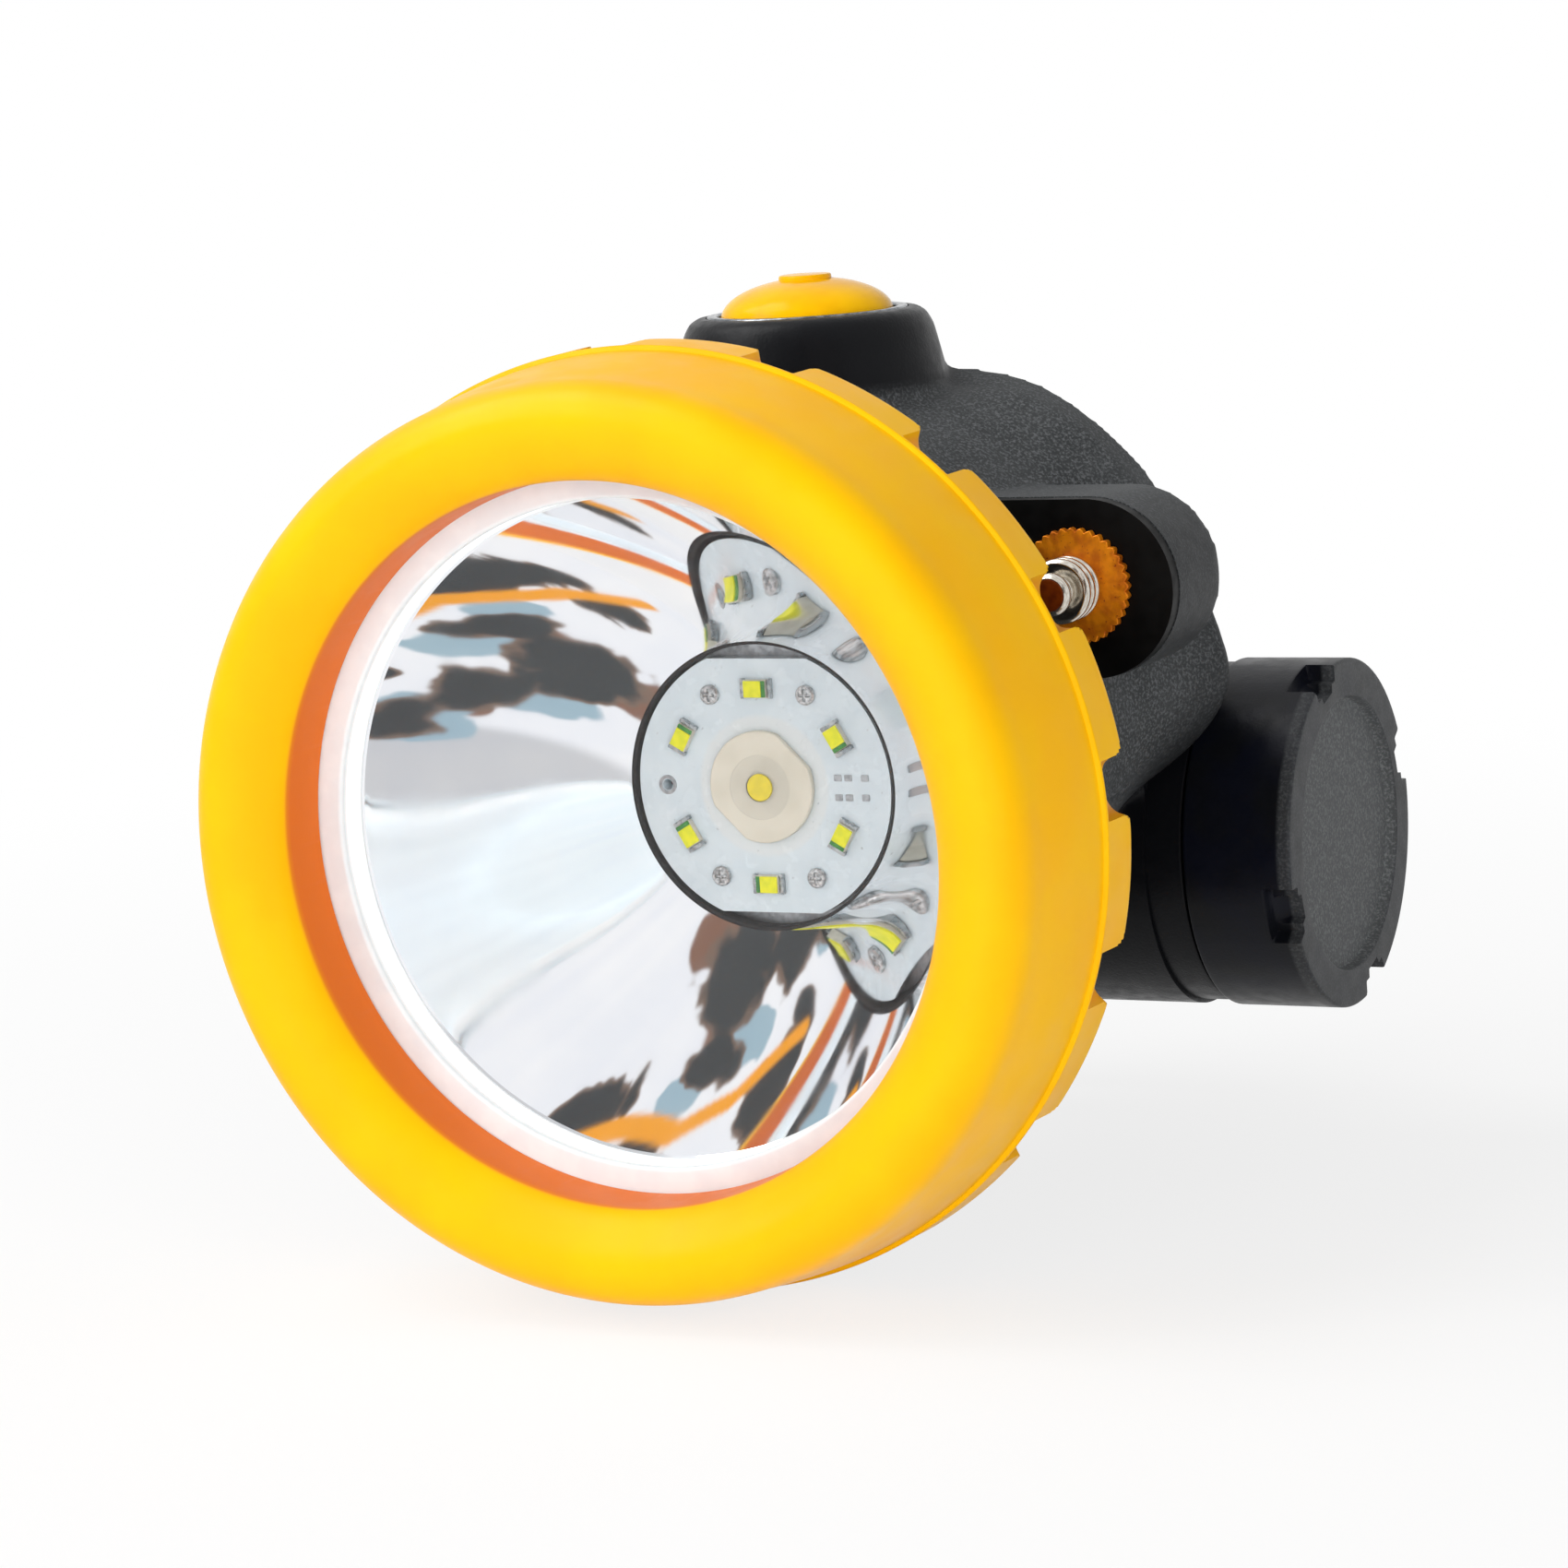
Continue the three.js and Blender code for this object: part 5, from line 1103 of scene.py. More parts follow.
def housing_rooms():
    """What is cut from the housing: lamp room, bores of button and cell, ear's face, holes for stud and rivets."""

    def wall_inside(y):
        return WAIST_R * math.sqrt(1 - max(0, back_share(y)) ** 2) - 2.3

    well_r, board_room_r, sink_room_r = 8, 16.4, 18.85
    front_y, widest_y, floor_y, board_y, sink_y = 8.6, 27.4, 33.02, 39.67, 36.67
    neck_r = wall_inside(NECK_REAR_Y)
    lamp_room = turned([
        (well_r, floor_y), (well_r, CAVITY_REAR_Y), (board_room_r, CAVITY_REAR_Y), (board_room_r, board_y),
        (sink_room_r, board_y), (sink_room_r, sink_y), (wall_inside(widest_y), widest_y), (neck_r, NECK_REAR_Y),
        (neck_r, front_y), (0, front_y), (0, floor_y),
    ], 96)
    low_z, step_z, ring_r = TURRET_TOP_Z - 10.8, TURRET_TOP_Z - 0.7, TURRET_BORE_R + 0.9
    button_bore = turned([
        (0, low_z), (TURRET_BORE_R, low_z), (TURRET_BORE_R, step_z), (ring_r, step_z), (ring_r, TURRET_TOP_Z + 1),
        (0, TURRET_TOP_Z + 1),
    ], 96, *TURRET_AXIS)
    cell_bore = cylinder(CELL_BORE_R, -34.5, 36, 96, *TUBE_AXIS)
    face = joined_by(raw_object("face", prism(ear_outline(-0.8), EAR_FRONT_Y - 6, PAD_REAR_Y + 0.1)), "DIFFERENCE",
                     skin())
    stud_hole = cylinder(3.3, PAD_REAR_Y - 0.5, 34.3, 64, *STUD_AXIS)
    spot_face = cylinder(WASHER_R + 0.25, EAR_FRONT_Y - 0.9, EAR_FRONT_Y, 64, *STUD_AXIS)
    rivet_holes = [cylinder(1.6, CLIP_PAD_Y - 4.3, CLIP_PAD_Y + 1, 32, centre=(0, TUBE.z + z))
                   for z in (-RIVET_SPACING / 2, RIVET_SPACING / 2)]
    return lamp_room, button_bore, cell_bore, face, stud_hole, spot_face, *rivet_holes


def build_housing(sizes):
    """The main moulding: skin, ear, turret and tube blended together, then cut and fitted as in the CAD."""
    body = housing_moulding(sizes.housing_voxel)
    joined_by(body, "DIFFERENCE", cylinder(TUBE_R + 0.9, TUBE_RIGHT_X, 60, 160, *TUBE_AXIS))
    joined_by(body, "UNION", *housing_rings())
    joined_by(body, "DIFFERENCE", *housing_rooms())
    tidy(body.data)
    x, y, z = vertex_places(body)
    from_turret, from_tube = np.hypot(x - TURRET.x, y - TURRET.y), np.hypot(y - TUBE.y, z - TUBE.z)
    # Smooth dark finish on the turret and the tube, and painted shade: the body round the tube and to the right of the
    # ear is painted dark and smooth like them.
    paint(body, "satin_and_shade", np.maximum.reduce([
        smooth_step(TURRET_R + 1.3, TURRET_R + 0.3, from_turret) * smooth_step(29.5, 31.0, z),
        smooth_step(TUBE_R + 1.5, TUBE_R + 0.4, from_tube),
        0.7 * smooth_step(TUBE_R + 13, TUBE_R + 2, from_tube),
        0.6 * smooth_step(EAR_X + 1, EAR_X + 6.5, x),
    ]))
    finish_piece(body, "housing_plastic", "black_plastic", "lamp_housing", even=False)


# ---- Button ----


def build_button():
    """The domed yellow button with its flat nub, and the thin bright ring round it."""
    edge_z = TURRET_TOP_Z - 0.2
    top_z, nub_z = edge_z + 2.8, edge_z + 3.2
    inner_r, stem_r, stem_z, skirt_z = BUTTON_R - 1.1, 1.5, 33.4, edge_z - 2.6
    top_angle = math.radians(72)
    dome = [(BUTTON_R * math.cos(a), edge_z + (top_z - edge_z) * math.sin(a) / math.sin(top_angle), 0)
            for a in np.linspace(0.06, top_angle, 22)]
    cap = raw_object("button_dome", soft_turned([
        (0, stem_z, 0), (stem_r, stem_z, 0), (stem_r, edge_z + 0.4, 0), (inner_r, edge_z - 0.6, 0.1),
        (inner_r, skirt_z, 0.1), (BUTTON_R, skirt_z, 0.15), (BUTTON_R, edge_z - 0.3, 0), *dome,
        (2.1, nub_z, 0.18), (0, nub_z, 0),
    ], 128, *TURRET_AXIS))
    finish_piece(cap, "button_gloss", "yellow_plastic", "button_cap", body="button")
    section = rectangle(TURRET_BORE_R, TURRET_TOP_Z - 0.6, TURRET_BORE_R + 0.8, TURRET_TOP_Z + 0.12)
    ring = raw_object("button_surround", soft_turned(section, 128, *TURRET_AXIS, radius=0.2))
    finish_piece(ring, "dark_nickel", "nickel", "button_ring")


# ---- Ear fittings ----


def build_ear_fittings(sizes):
    """The black face, the toothed washer and the ringed charging stud with its copper tip."""
    face = raw_object("ear_face", prism(ear_outline(0.08), EAR_FRONT_Y, PAD_REAR_Y))
    joined_by(face, "DIFFERENCE", skin(0.3), cylinder(SHANK_HOLE_R, 20, 40, 48, *STUD_AXIS))
    tidy(face.data)
    finish_piece(face, "face_black", "satin_black", "contact_pad")

    rear = EAR_FRONT_Y - 0.1
    front = rear - 0.7
    half_tooth = math.pi * WASHER_R / sizes.washer_teeth

    def carve(radius, y, offset):
        deep = 0.3 * (abs(offset) / half_tooth) ** 1.5 if radius >= 3.5 else 0
        return radius - deep, y

    tooth = raw_object("toothed_washer", turned_share(rounded([
        (SHANK_HOLE_R, rear, 0.08), (SHANK_HOLE_R, front, 0.12), (WASHER_R, front, 0.12), (WASHER_R, rear, 0.08),
    ]), list(np.linspace(-half_tooth, half_tooth, 9)), WASHER_R, carve, *STUD_AXIS))
    repeat_round(tooth, sizes.washer_teeth, 0, (STUD.x, 0, STUD.z), "Y", "toothed_brass")
    finish_piece(tooth, "toothed_brass", "brass", "stud_washer")

    tip = STUD_TIP_Y
    tip_r, head_r, neck_r, root_r, ring_r, shank_r = 1.22, 1.64, 1.15, 2.15, 2.5, 1.9
    ring_pitch, shoulder_y, shank_end_y = 0.9, tip + 4.8, 33.7
    outline = [(0, tip + 0.06, 0), (tip_r, tip + 0.06, 0), (1.3, tip, 0.02), (head_r, tip + 0.3, 0.15),
               (head_r, tip + 0.8, 0.15), (neck_r, tip + 1.0, 0.2), (neck_r, tip + 1.9, 0.15)]
    for k in range(3):
        y = tip + 1.9 + ring_pitch * k
        outline += [(root_r, y, 0.1), (ring_r, y + 0.25, 0.2), (ring_r, y + 0.65, 0.2)]
    outline += [(root_r, tip + 4.6, 0.1), (root_r, shoulder_y, 0), (shank_r, shoulder_y, 0),
                (shank_r, shank_end_y, 0), (0, shank_end_y, 0)]
    finish_piece(raw_object("ringed_stud", soft_turned(outline, 96, *STUD_AXIS)), "bright_nickel", "nickel",
                 "charging_stud")
    end = raw_object("stud_tip", soft_turned([
        (0, tip + 0.01, 0), (1.2, tip + 0.01, 0.04), (1.2, tip + 0.2, 0), (0, tip + 0.2, 0),
    ], 64, *STUD_AXIS))
    finish_piece(end, "stud_copper", "brass")


# ---- Battery cap ----


def cap_outline():
    """The cap's section from the middle of its inner end, round its mouth and over its side to the recess."""
    end, mouth, floor = CAP_END_X, CAP_MOUTH_X, CAP_END_X - CAP_RECESS_DEPTH
    inner = [(r, end - 2.6) for r in (0, 8, CAP_BORE_R)]
    mouth_edge = rounded([
        (CAP_BORE_R, mouth + 0.6, 0), (CAP_BORE_R, mouth, 0.1), (TUBE_R, mouth, 0.3), (TUBE_R, mouth + 0.45, 0),
    ], closed=False)
    side = [(TUBE_R, x) for x in np.linspace(mouth + 0.5, end - 2.7, 8)]
    near = [(TUBE_R, end - d) for d in (2.5, 2.42, 2.34, 2.26, 2.1, 1.7, 1.2, 0.9, 0.7)]
    edge = rounded([(TUBE_R, end - 0.65, 0), (TUBE_R, end, 0.5), (TUBE_R - 0.75, end, 0)], steps=5, closed=False)
    face = [(r, end) for r in (13.4, 13.2, 13.05, 12.97, 12.89, 12.8, 12.5)]
    recess = rounded([
        (12.2, end, 0), (CAP_RECESS_R, end, 0.15), (CAP_RECESS_R - 0.2, floor, 0.12), (CAP_RECESS_R - 1, floor, 0),
    ], closed=False)
    return inner + mouth_edge + side + near + edge + face + recess + [(r, floor) for r in (8, 5, 2, 0)]


def build_cap(sizes):
    """The screw cap, drawn as one share with one key notch and repeated round the battery."""
    count = sizes.cap_notch_count
    end, half = CAP_END_X, 2.3
    offsets = both_sides([
        0.9, 1.2, 1.3, 1.4, 1.8, half - 0.14, half - 0.05, half + 0.03, half + 0.14, half + 0.4, half + 1.2,
        *np.linspace(half + 2.2, math.pi * TUBE_R / count, 9),
    ])

    def carve(radius, x, offset):
        if radius < 12.0 or x < end - 2.45:
            return radius, x
        across = float(smooth_step(half + 0.1, half - 0.1, abs(offset)))
        along = float(smooth_step(end - 2.44, end - 2.2, x))
        pocket = 0.7 * float(smooth_step(1.35, 1.25, abs(offset)) * smooth_step(end - 1.75, end - 1.65, x))
        return min(radius, TUBE_R - (1.3 + pocket) * across * along), x

    piece = raw_object("cap_moulding", turned_share(cap_outline(), offsets, TUBE_R, carve, *TUBE_AXIS, closed=False))
    repeat_round(piece, count, CAP_TURN_DEG, (0, TUBE.y, TUBE.z), "X", "cap_plastic")
    x, y, z = vertex_places(piece)
    on_floor = smooth_step(CAP_RECESS_R + 0.1, CAP_RECESS_R - 0.1, np.hypot(y - TUBE.y, z - TUBE.z))
    paint(piece, "end_face", smooth_step(end - 1.2, end - 1.0, x) * (0.3 + 0.7 * on_floor))
    finish_piece(piece, "cap_plastic", "satin_black", "battery_cap", body="cap")


# ---- Helmet clip ----


def build_clip():
    """The folded steel strip at the back, and the two rivets that hold it."""
    base_y = CLIP_REAR_Y - 2 * CLIP_THICKNESS - CLIP_GAP
    fold_r = CLIP_GAP / 2
    fold_y = base_y + CLIP_THICKNESS + fold_r
    base_low_z, bend_z = TUBE.z - CLIP_BASE_HEIGHT / 2, TUBE.z + CLIP_BASE_HEIGHT / 2
    low_z = bend_z - CLIP_TONGUE_LENGTH

    def fold(radius, way):
        """The bend's half circle: backwards where the way is -1 and forwards where it is 1."""
        return [(fold_y + way * radius * math.cos(a), bend_z + radius * math.sin(a))
                for a in np.linspace(0, math.pi, 24)]

    side = [
        (base_y, base_low_z), (base_y + CLIP_THICKNESS, base_low_z), *fold(fold_r, -1),
        (CLIP_REAR_Y - CLIP_THICKNESS, low_z), (CLIP_REAR_Y, low_z), *fold(fold_r + CLIP_THICKNESS, 1),
    ]
    half = CLIP_WIDTH / 2
    strip = raw_object("clip_strip", prism(side, -half, half, "X"))
    corner = 5.0
    left = [(-half + corner + corner * math.cos(a), low_z + corner + corner * math.sin(a))
            for a in np.linspace(math.pi, 1.5 * math.pi, 16)]
    front = [(-half - 0.2, bend_z + 9), *left, *[(-x, z) for x, z in reversed(left)], (half + 0.2, bend_z + 9)]
    joined_by(strip, "INTERSECT", prism(front, base_y - 1, CLIP_REAR_Y + 1))
    tidy(strip.data)
    soften(strip, 0.25, 3, 50)
    finish_piece(strip, "clip_steel", "clip_steel", "helmet_clip")

    head, head_r, shank_r = base_y + CLIP_THICKNESS + 0.05, 2.8, 1.5
    arc = [(2.75 * math.cos(a), head + 0.12 + 0.48 * math.sin(a)) for a in np.linspace(0, math.pi / 2, 10)]
    rivet = raw_object("clip_rivets", turned([
        (0, head - 5.75), (1.4, head - 5.75), (shank_r, head - 5.6), (shank_r, head), (head_r, head), *arc[:-1],
        (0, arc[-1][1]),
    ], 64))
    rivet.data.transform(Matrix.Translation(-BEAM))
    set_in_rows(rivet, 1, 2, 0, RIVET_SPACING, Vector((0, 0, TUBE.z)) + BEAM / MM, "rivet_steel")
    finish_piece(rivet, "rivet_steel", "nickel", "clip_rivet_1", "clip_rivet_2")


# ---- Parts inside ----

INNER_PARTS = {
    "circuit_green": ("driver_board", "switch_board"),
    "black_rubber": ("bezel_seal", "cap_seal"),
    "white_rubber": ("stud_bush",),
    "cast_aluminium": ("heat_sink", "driver_capacitor"),
    "spring_steel": ("button_spring", "battery_spring"),
    "lead_cover": ("negative_lead", "positive_lead"),
    "cell_wrap": ("battery_cell",),
    "contact_brass": ("cap_contact",),
    "switch_black": ("driver_coil", "tact_switch"),
}


def build_press_spring():
    """A copy of the CAD's spring under the button."""
    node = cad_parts["button_spring"]
    mesh = node.data.copy()
    mesh.transform(node.matrix_world)
    tidy(mesh)
    spring = bpy.data.objects.new("press_spring", mesh)
    bpy.context.scene.collection.objects.link(spring)
    finish_piece(spring, "spring_steel", "spring_steel", "button_spring", even=False)
    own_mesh(spring)


def dress_inner_parts():
    """Gives every CAD part that stays its own detailed material."""
    for finish, nodes in INNER_PARTS.items():
        for node in nodes:
            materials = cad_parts[node].data.materials
            materials.clear()
            materials.append(look(finish))
    build_press_spring()


# ---- Stage ----


def add_camera(stage):
    """The camera at the photograph's viewing angle."""
    az, el, roll = stage.azimuth, stage.elevation, stage.roll
    back = Vector((math.sin(az) * math.cos(el), -math.cos(az) * math.cos(el), math.sin(el)))
    level = Vector((math.cos(az), math.sin(az), 0))
    upright = back.cross(level)
    right = math.cos(roll) * level + math.sin(roll) * upright
    up = -math.sin(roll) * level + math.cos(roll) * upright
    camera = bpy.data.objects.new("camera", bpy.data.cameras.new("camera"))
    camera.data.sensor_width = 36
    camera.data.lens = stage.focal_length
    camera.data.clip_start = 0.01
    camera.data.clip_end = 20
    bpy.context.scene.collection.objects.link(camera)
    place = BEAM + Vector(stage.aim) + back * stage.distance
    camera.matrix_world = Matrix.Translation(place) @ Matrix((right, up, back)).transposed().to_4x4()
    bpy.context.scene.camera = camera


def add_lamp(name, place, size, power, shown=True):
    """A soft square lamp that faces the cap lamp; gloss and bright metal see it when it's shown."""
    data = bpy.data.lights.new(name, "AREA")
    data.size = size
    data.energy = power
    lamp = bpy.data.objects.new(name, data)
    lamp.location = BEAM + Vector(place)
    lamp.rotation_mode = "QUATERNION"
    lamp.rotation_quaternion = (lamp.location - BEAM).to_track_quat("Z", "Y")
    lamp.visible_glossy = shown
    bpy.context.scene.collection.objects.link(lamp)


def seen_straight(tree):
    """1 for what the camera sees directly, in gloss or through glass, and 0 for the light on the lamp."""
    rays = tree.nodes.new("ShaderNodeLightPath").outputs
    seen = calculate(tree, "MAXIMUM", rays["Is Camera Ray"], rays["Is Glossy Ray"])
    return calculate(tree, "MAXIMUM", seen, rays["Is Transmission Ray"])


def add_world(level):
    """Even light from all round; seen directly, in metal or through glass, the background is white."""
    world = bpy.data.worlds.new("studio")
    bpy.context.scene.world = world
    world.use_nodes = True
    tree = world.node_tree
    tree.nodes.clear()
    lights = [wire(tree, "ShaderNodeBackground", {"Color": (1, 1, 1, 1), "Strength": k}) for k in (level, 1)]
    mixed = wire(tree, "ShaderNodeMixShader", {"Fac": seen_straight(tree), 1: lights[0], 2: lights[1]})
    tree.links.new(mixed, tree.nodes.new("ShaderNodeOutputWorld").inputs["Surface"])


def add_floor():
    """A pale floor under the lamp's lowest point. The camera sees it white where no shadow falls on it."""
    made = Finish("stage_floor")
    made.into("Base Color", made.clouds(60, "floor", 0xF4F4F4))
    made.sockets["Roughness"].default_value = 0.9
    made.sockets["Specular IOR Level"].default_value = 0.1
    low, half_floor = cad_box[0].z, 3.0
    under_lamp = (BEAM.x, BEAM.y, low)
    away = made.node("ShaderNodeVectorMath", {0: made.place, 1: under_lamp}, "Value", operation="DISTANCE")
    whiteness = made.between(away, 0.05, 0.3, 0.8, 1.0)
    share = calculate(made.tree, "MULTIPLY", seen_straight(made.tree), whiteness)
    glow = made.node("ShaderNodeEmission", {"Strength": 1.0})
    shaded = made.tree.nodes["Principled BSDF"].outputs[0]
    mixed = made.node("ShaderNodeMixShader", {"Fac": share, 1: shaded, 2: glow})
    made.tree.links.new(mixed, made.tree.nodes["Material Output"].inputs["Surface"])

    mesh = bpy.data.meshes.new("floor")
    corners = rectangle(-half_floor, -half_floor, half_floor, half_floor)
    mesh.from_pydata([(x, y, low) for x, y in corners], [], [[0, 1, 2, 3]])
    mesh.materials.append(made.material)
    floor = bpy.data.objects.new("floor", mesh)
    bpy.context.scene.collection.objects.link(floor)


# Painted reflection: dark and coloured shapes on the screen in front of the lamp, by their tone: azimuth, elevation
# and half of both sizes in degrees.
PAINTED_REFLECTION_SHAPES = {
    "brown": [(24, 13, 8, 7), (14, 4, 4, 5), (6, 25, 3, 2), (2, 36, 5, 4)],
    "blue": [(28, 22, 4.5, 7), (37, 11, 4, 6), (9, 17, 3, 8), (1, 31, 8, 6)],
    "dark": [(20, 11, 7.5, 8.5), (33, 15, 3.6, 8), (13, 25, 7, 5), (18, 37, 3, 5), (48, 0, 5, 17), (31, 43, 8, 8),
             (36, -9, 5, 7), (55, 22, 4, 14), (0, 33, 6, 4.5), (-3, 38, 4, 5)],
}
# Painted reflection: an orange strip on the screen, as points of azimuth and elevation in degrees.
ORANGE_REFLECTION_STRIP = [(39.5, -25), (40.5, 0), (43, 17), (37, 30), (20, 42)]
SCREEN_DISTANCE_MM = 620
SCREEN_AZIMUTHS, SCREEN_ELEVATIONS = (-34, 66), (-34, 52)


def painted_reflection_look():
    """A painted reflection for bright metal: white light, a pale grey screen, a few dark and coloured shapes and a
    strip, all given as light of their own.
    """
    made = Finish("painted_reflection_look")
    wobble = made.between(made.noise(80, detail=2), 0.2, 0.8, -0.2, 0.2)
    seen = made.blend(made.attribute("screen"), 0xFBFCFF, 0xD0D1D4)
    for name, colour, low, high in (("brown", 0x8A6350, 0.42, 0.52), ("blue", 0xA3BECB, 0.42, 0.52),
                                    ("dark", 0x80695A, 0.38, 0.45), ("dark", 0x35393B, 0.43, 0.56)):
        shape = calculate(made.tree, "ADD", made.attribute(name), wobble)
        seen = made.blend(made.between(shape, low, high), seen, colour)
    seen = made.blend(made.attribute("strip"), seen, 0xFFA81C)
    glow = made.node("ShaderNodeEmission", {"Color": seen})
    made.tree.links.new(glow, made.tree.nodes["Material Output"].inputs["Surface"])
    return made.material


def screen_shades(az, el):
    """How much of each painted reflection tone lies at each azimuth and elevation."""
    shades = {}
    for tone, things in PAINTED_REFLECTION_SHAPES.items():
        reach = [np.hypot((az - middle_az) / half_az, (el - middle_el) / half_el)
                 for middle_az, middle_el, half_az, half_el in things]
        shades[tone] = np.clip(1 - 0.5 * np.min(reach, axis=0), 0, 1)
    nearest = np.full(az.shape, 99.0)
    for (az_1, el_1), (az_2, el_2) in zip(ORANGE_REFLECTION_STRIP, ORANGE_REFLECTION_STRIP[1:]):
        run_az, run_el = az_2 - az_1, el_2 - el_1
        along = np.clip(((az - az_1) * run_az + (el - el_1) * run_el) / (run_az**2 + run_el**2), 0, 1)
        nearest = np.minimum(nearest, np.hypot(az - az_1 - along * run_az, el - el_1 - along * run_el))
    shades["strip"] = smooth_step(2.3, 1.4, nearest)
    from_left, from_right = smooth_step(-31, -28, az), smooth_step(2, -1, az)
    shades["screen"] = from_left * smooth_step(0, 3, el) * smooth_step(44, 40, el) * from_right
    return shades


def add_surroundings():
    """A curved screen round the front of the lamp, down to the floor, that only bright metal and gloss can see; it
    carries a painted reflection.
    """
    az, el = np.meshgrid(np.linspace(*SCREEN_AZIMUTHS, 134), np.linspace(*SCREEN_ELEVATIONS, 116))
    a, e = np.radians(az), np.radians(el)
    floor_z = drawn(cad_box[0]).z + 3
    to_floor = floor_z / np.minimum(np.sin(e), -1e-3) + 1e6 * (e > -0.01)
    outward = np.stack([np.sin(a) * np.cos(e), -np.cos(a) * np.cos(e), np.sin(e)], -1)
    points = (outward * np.minimum(SCREEN_DISTANCE_MM, to_floor)[..., None]).reshape(-1, 3)
    rows = np.arange(len(points)).reshape(az.shape).tolist()
    screen = raw_object("surroundings", (points.tolist(), quilt(rows, closed=False)))
    for name, numbers in screen_shades(az, el).items():
        paint(screen, name, numbers.ravel())
    screen.data.materials.append(painted_reflection_look())
    screen.visible_camera = screen.visible_diffuse = screen.visible_shadow = False


def build_stage(stage):
    """Camera, background, floor, a screen painted with reflections and four lamps, whose places are in metres from the
    beam opening.
    """
    bpy.context.scene.view_settings.view_transform = "Standard"
    add_camera(stage)
    add_world(stage.ambient)
    add_floor()
    add_surroundings()
    add_lamp("key_lamp", (-0.42, -0.45, 0.38), 0.35, stage.key_power)
    add_lamp("front_lamp", (0.12, -0.75, 0.2), 0.4, stage.front_power, shown=False)
    add_lamp("fill_lamp", (0.48, -0.4, 0.12), 0.3, stage.fill_power, shown=False)
    add_lamp("top_lamp", (-0.3, -0.1, 0.52), 0.4, stage.top_power)


# ---- Operators and panel ----


class CAPLAMP_OT_stage(bpy.types.Operator):
    """Add the camera, the lamps, the floor and the white background"""

    bl_idname = "caplamp.stage"
    bl_label = "Stage"

    def execute(self, context):
        build_stage(context.scene.cap_lamp_stage)
        return {"FINISHED"}


class CAPLAMP_OT_bezel(bpy.types.Operator):
    """Build the yellow bezel ring with its grip notches"""

    bl_idname = "caplamp.bezel"
    bl_label = "Bezel"

    def execute(self, context):
        build_bezel(context.scene.cap_lamp_sizes)
        return {"FINISHED"}


class CAPLAMP_OT_lens(bpy.types.Operator):
    """Build the white seal and the clear front lens"""

    bl_idname = "caplamp.lens"
    bl_label = "Lens and Seal"

    def execute(self, context):
        build_lens_and_seal()
        return {"FINISHED"}


class CAPLAMP_OT_mirror(bpy.types.Operator):
    """Build the deep mirror"""

    bl_idname = "caplamp.mirror"
    bl_label = "Mirror"

    def execute(self, context):
        build_mirror()
        return {"FINISHED"}


class CAPLAMP_OT_board(bpy.types.Operator):
    """Build the LED board, its pads and the throat ring"""

    bl_idname = "caplamp.board"
    bl_label = "LED Board"

    def execute(self, context):
        build_board()
        return {"FINISHED"}


class CAPLAMP_OT_emitter(bpy.types.Operator):
    """Build the main emitter"""

    bl_idname = "caplamp.emitter"
    bl_label = "Main Emitter"

    def execute(self, context):
        build_emitter()
        return {"FINISHED"}


class CAPLAMP_OT_side_leds(bpy.types.Operator):
    """Build the ring of small LEDs"""

    bl_idname = "caplamp.side_leds"
    bl_label = "Side LEDs"

    def execute(self, context):
        build_side_leds(context.scene.cap_lamp_sizes)
        return {"FINISHED"}


class CAPLAMP_OT_board_screws(bpy.types.Operator):
    """Build the four screws on the LED board"""

    bl_idname = "caplamp.board_screws"
    bl_label = "Board Screws"

    def execute(self, context):
        build_board_screws()
        return {"FINISHED"}


class CAPLAMP_OT_housing(bpy.types.Operator):
    """Build the black moulded lamp body"""

    bl_idname = "caplamp.housing"
    bl_label = "Lamp Housing"

    def execute(self, context):
        build_housing(context.scene.cap_lamp_sizes)
        return {"FINISHED"}


class CAPLAMP_OT_button(bpy.types.Operator):
    """Build the push button and its bright surround"""

    bl_idname = "caplamp.button"
    bl_label = "Push Button"

    def execute(self, context):
        build_button()
        return {"FINISHED"}


class CAPLAMP_OT_ear_fittings(bpy.types.Operator):
    """Build the ear's black face, toothed washer and charging stud"""

    bl_idname = "caplamp.ear_fittings"
    bl_label = "Charging Stud"

    def execute(self, context):
        build_ear_fittings(context.scene.cap_lamp_sizes)
        return {"FINISHED"}


class CAPLAMP_OT_cap(bpy.types.Operator):
    """Build the battery screw cap"""

    bl_idname = "caplamp.cap"
    bl_label = "Battery Cap"

    def execute(self, context):
        build_cap(context.scene.cap_lamp_sizes)
        return {"FINISHED"}


class CAPLAMP_OT_clip(bpy.types.Operator):
    """Build the helmet clip and its rivets"""

    bl_idname = "caplamp.clip"
    bl_label = "Helmet Clip"

    def execute(self, context):
        build_clip()
        return {"FINISHED"}


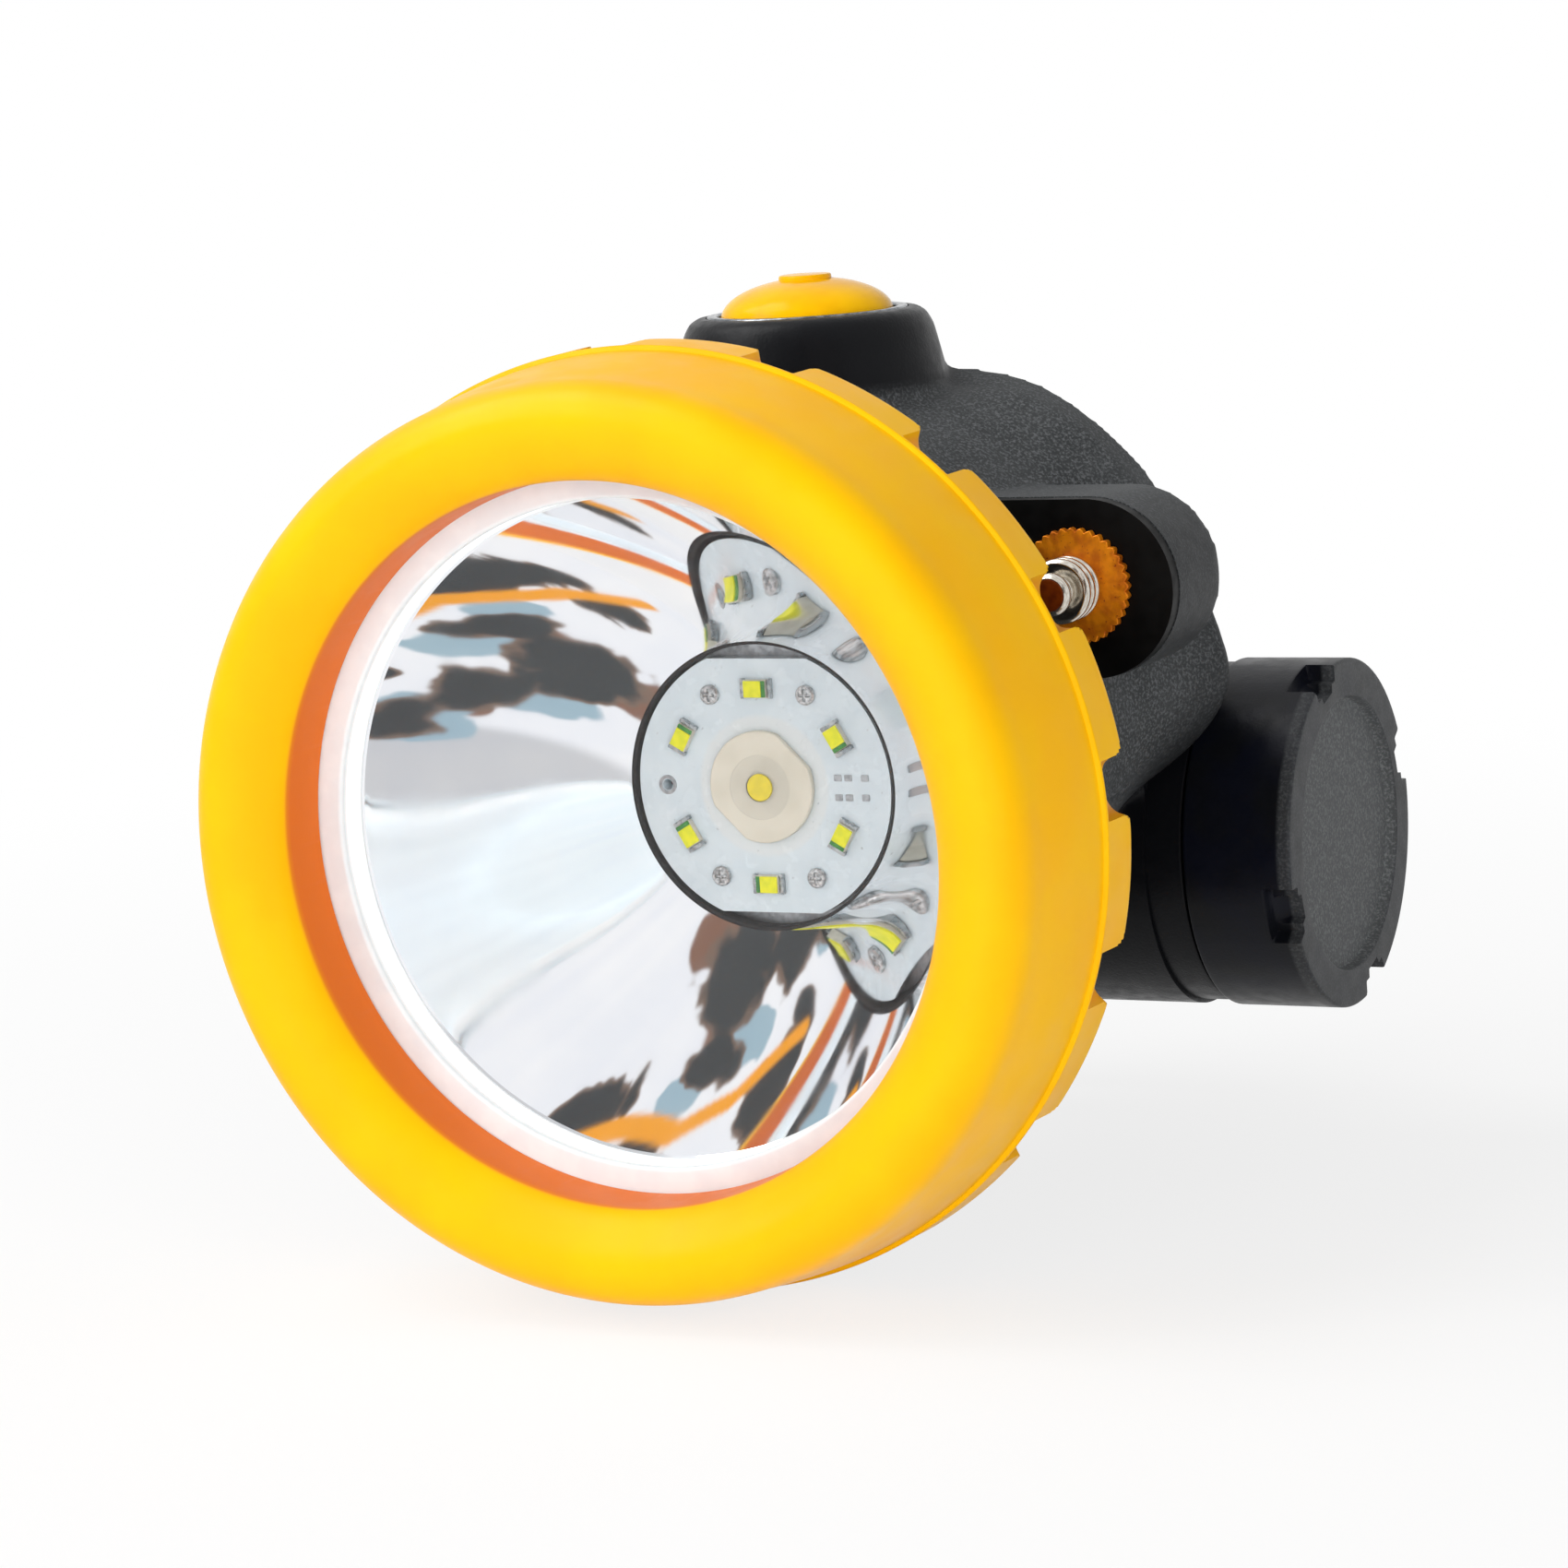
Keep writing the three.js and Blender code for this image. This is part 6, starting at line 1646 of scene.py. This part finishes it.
class CAPLAMP_OT_inner_parts(bpy.types.Operator):
    """Give the parts inside the lamp their materials"""

    bl_idname = "caplamp.inner_parts"
    bl_label = "Parts Inside"

    def execute(self, context):
        dress_inner_parts()
        return {"FINISHED"}


OPERATORS = (
    CAPLAMP_OT_stage, CAPLAMP_OT_bezel, CAPLAMP_OT_lens, CAPLAMP_OT_mirror, CAPLAMP_OT_board, CAPLAMP_OT_emitter,
    CAPLAMP_OT_side_leds, CAPLAMP_OT_board_screws, CAPLAMP_OT_housing, CAPLAMP_OT_button,
    CAPLAMP_OT_ear_fittings, CAPLAMP_OT_cap, CAPLAMP_OT_clip, CAPLAMP_OT_inner_parts,
)
GROUPS = {"cap_lamp_sizes": CapLampSizes, "cap_lamp_colours": CapLampColours, "cap_lamp_stage": CapLampStage}


class CAPLAMP_PT_sidebar(bpy.types.Panel):
    """The cap lamp's builders and settings in the 3D view's sidebar"""

    bl_idname = "CAPLAMP_PT_sidebar"
    bl_label = "Cap Lamp"
    bl_space_type = "VIEW_3D"
    bl_region_type = "UI"
    bl_category = "Cap Lamp"

    def draw(self, context):
        column = self.layout.column(align=True)
        for operator in OPERATORS:
            column.operator(operator.bl_idname)
        for group_name in GROUPS:
            group = getattr(context.scene, group_name)
            box = self.layout.box()
            for name in group.bl_rna.properties.keys():
                if name not in ("rna_type", "name"):
                    box.prop(group, name)


CLASSES = (*GROUPS.values(), *OPERATORS, CAPLAMP_PT_sidebar)


def register():
    for operator in OPERATORS:
        operator.bl_options = {"REGISTER", "UNDO"}
    for kind in CLASSES:
        bpy.utils.register_class(kind)
    for name, group in GROUPS.items():
        setattr(bpy.types.Scene, name, PointerProperty(type=group))


def unregister():
    for name in GROUPS:
        delattr(bpy.types.Scene, name)
    for kind in reversed(CLASSES):
        bpy.utils.unregister_class(kind)


def main():
    """Builds everything in order."""
    register()
    for operator in OPERATORS:
        family, name = operator.bl_idname.split(".")
        result = getattr(getattr(bpy.ops, family), name)()
        if result != {"FINISHED"}:
            raise RuntimeError(f"{operator.bl_label} wasn't built")


if __name__ == "__main__":
    main()
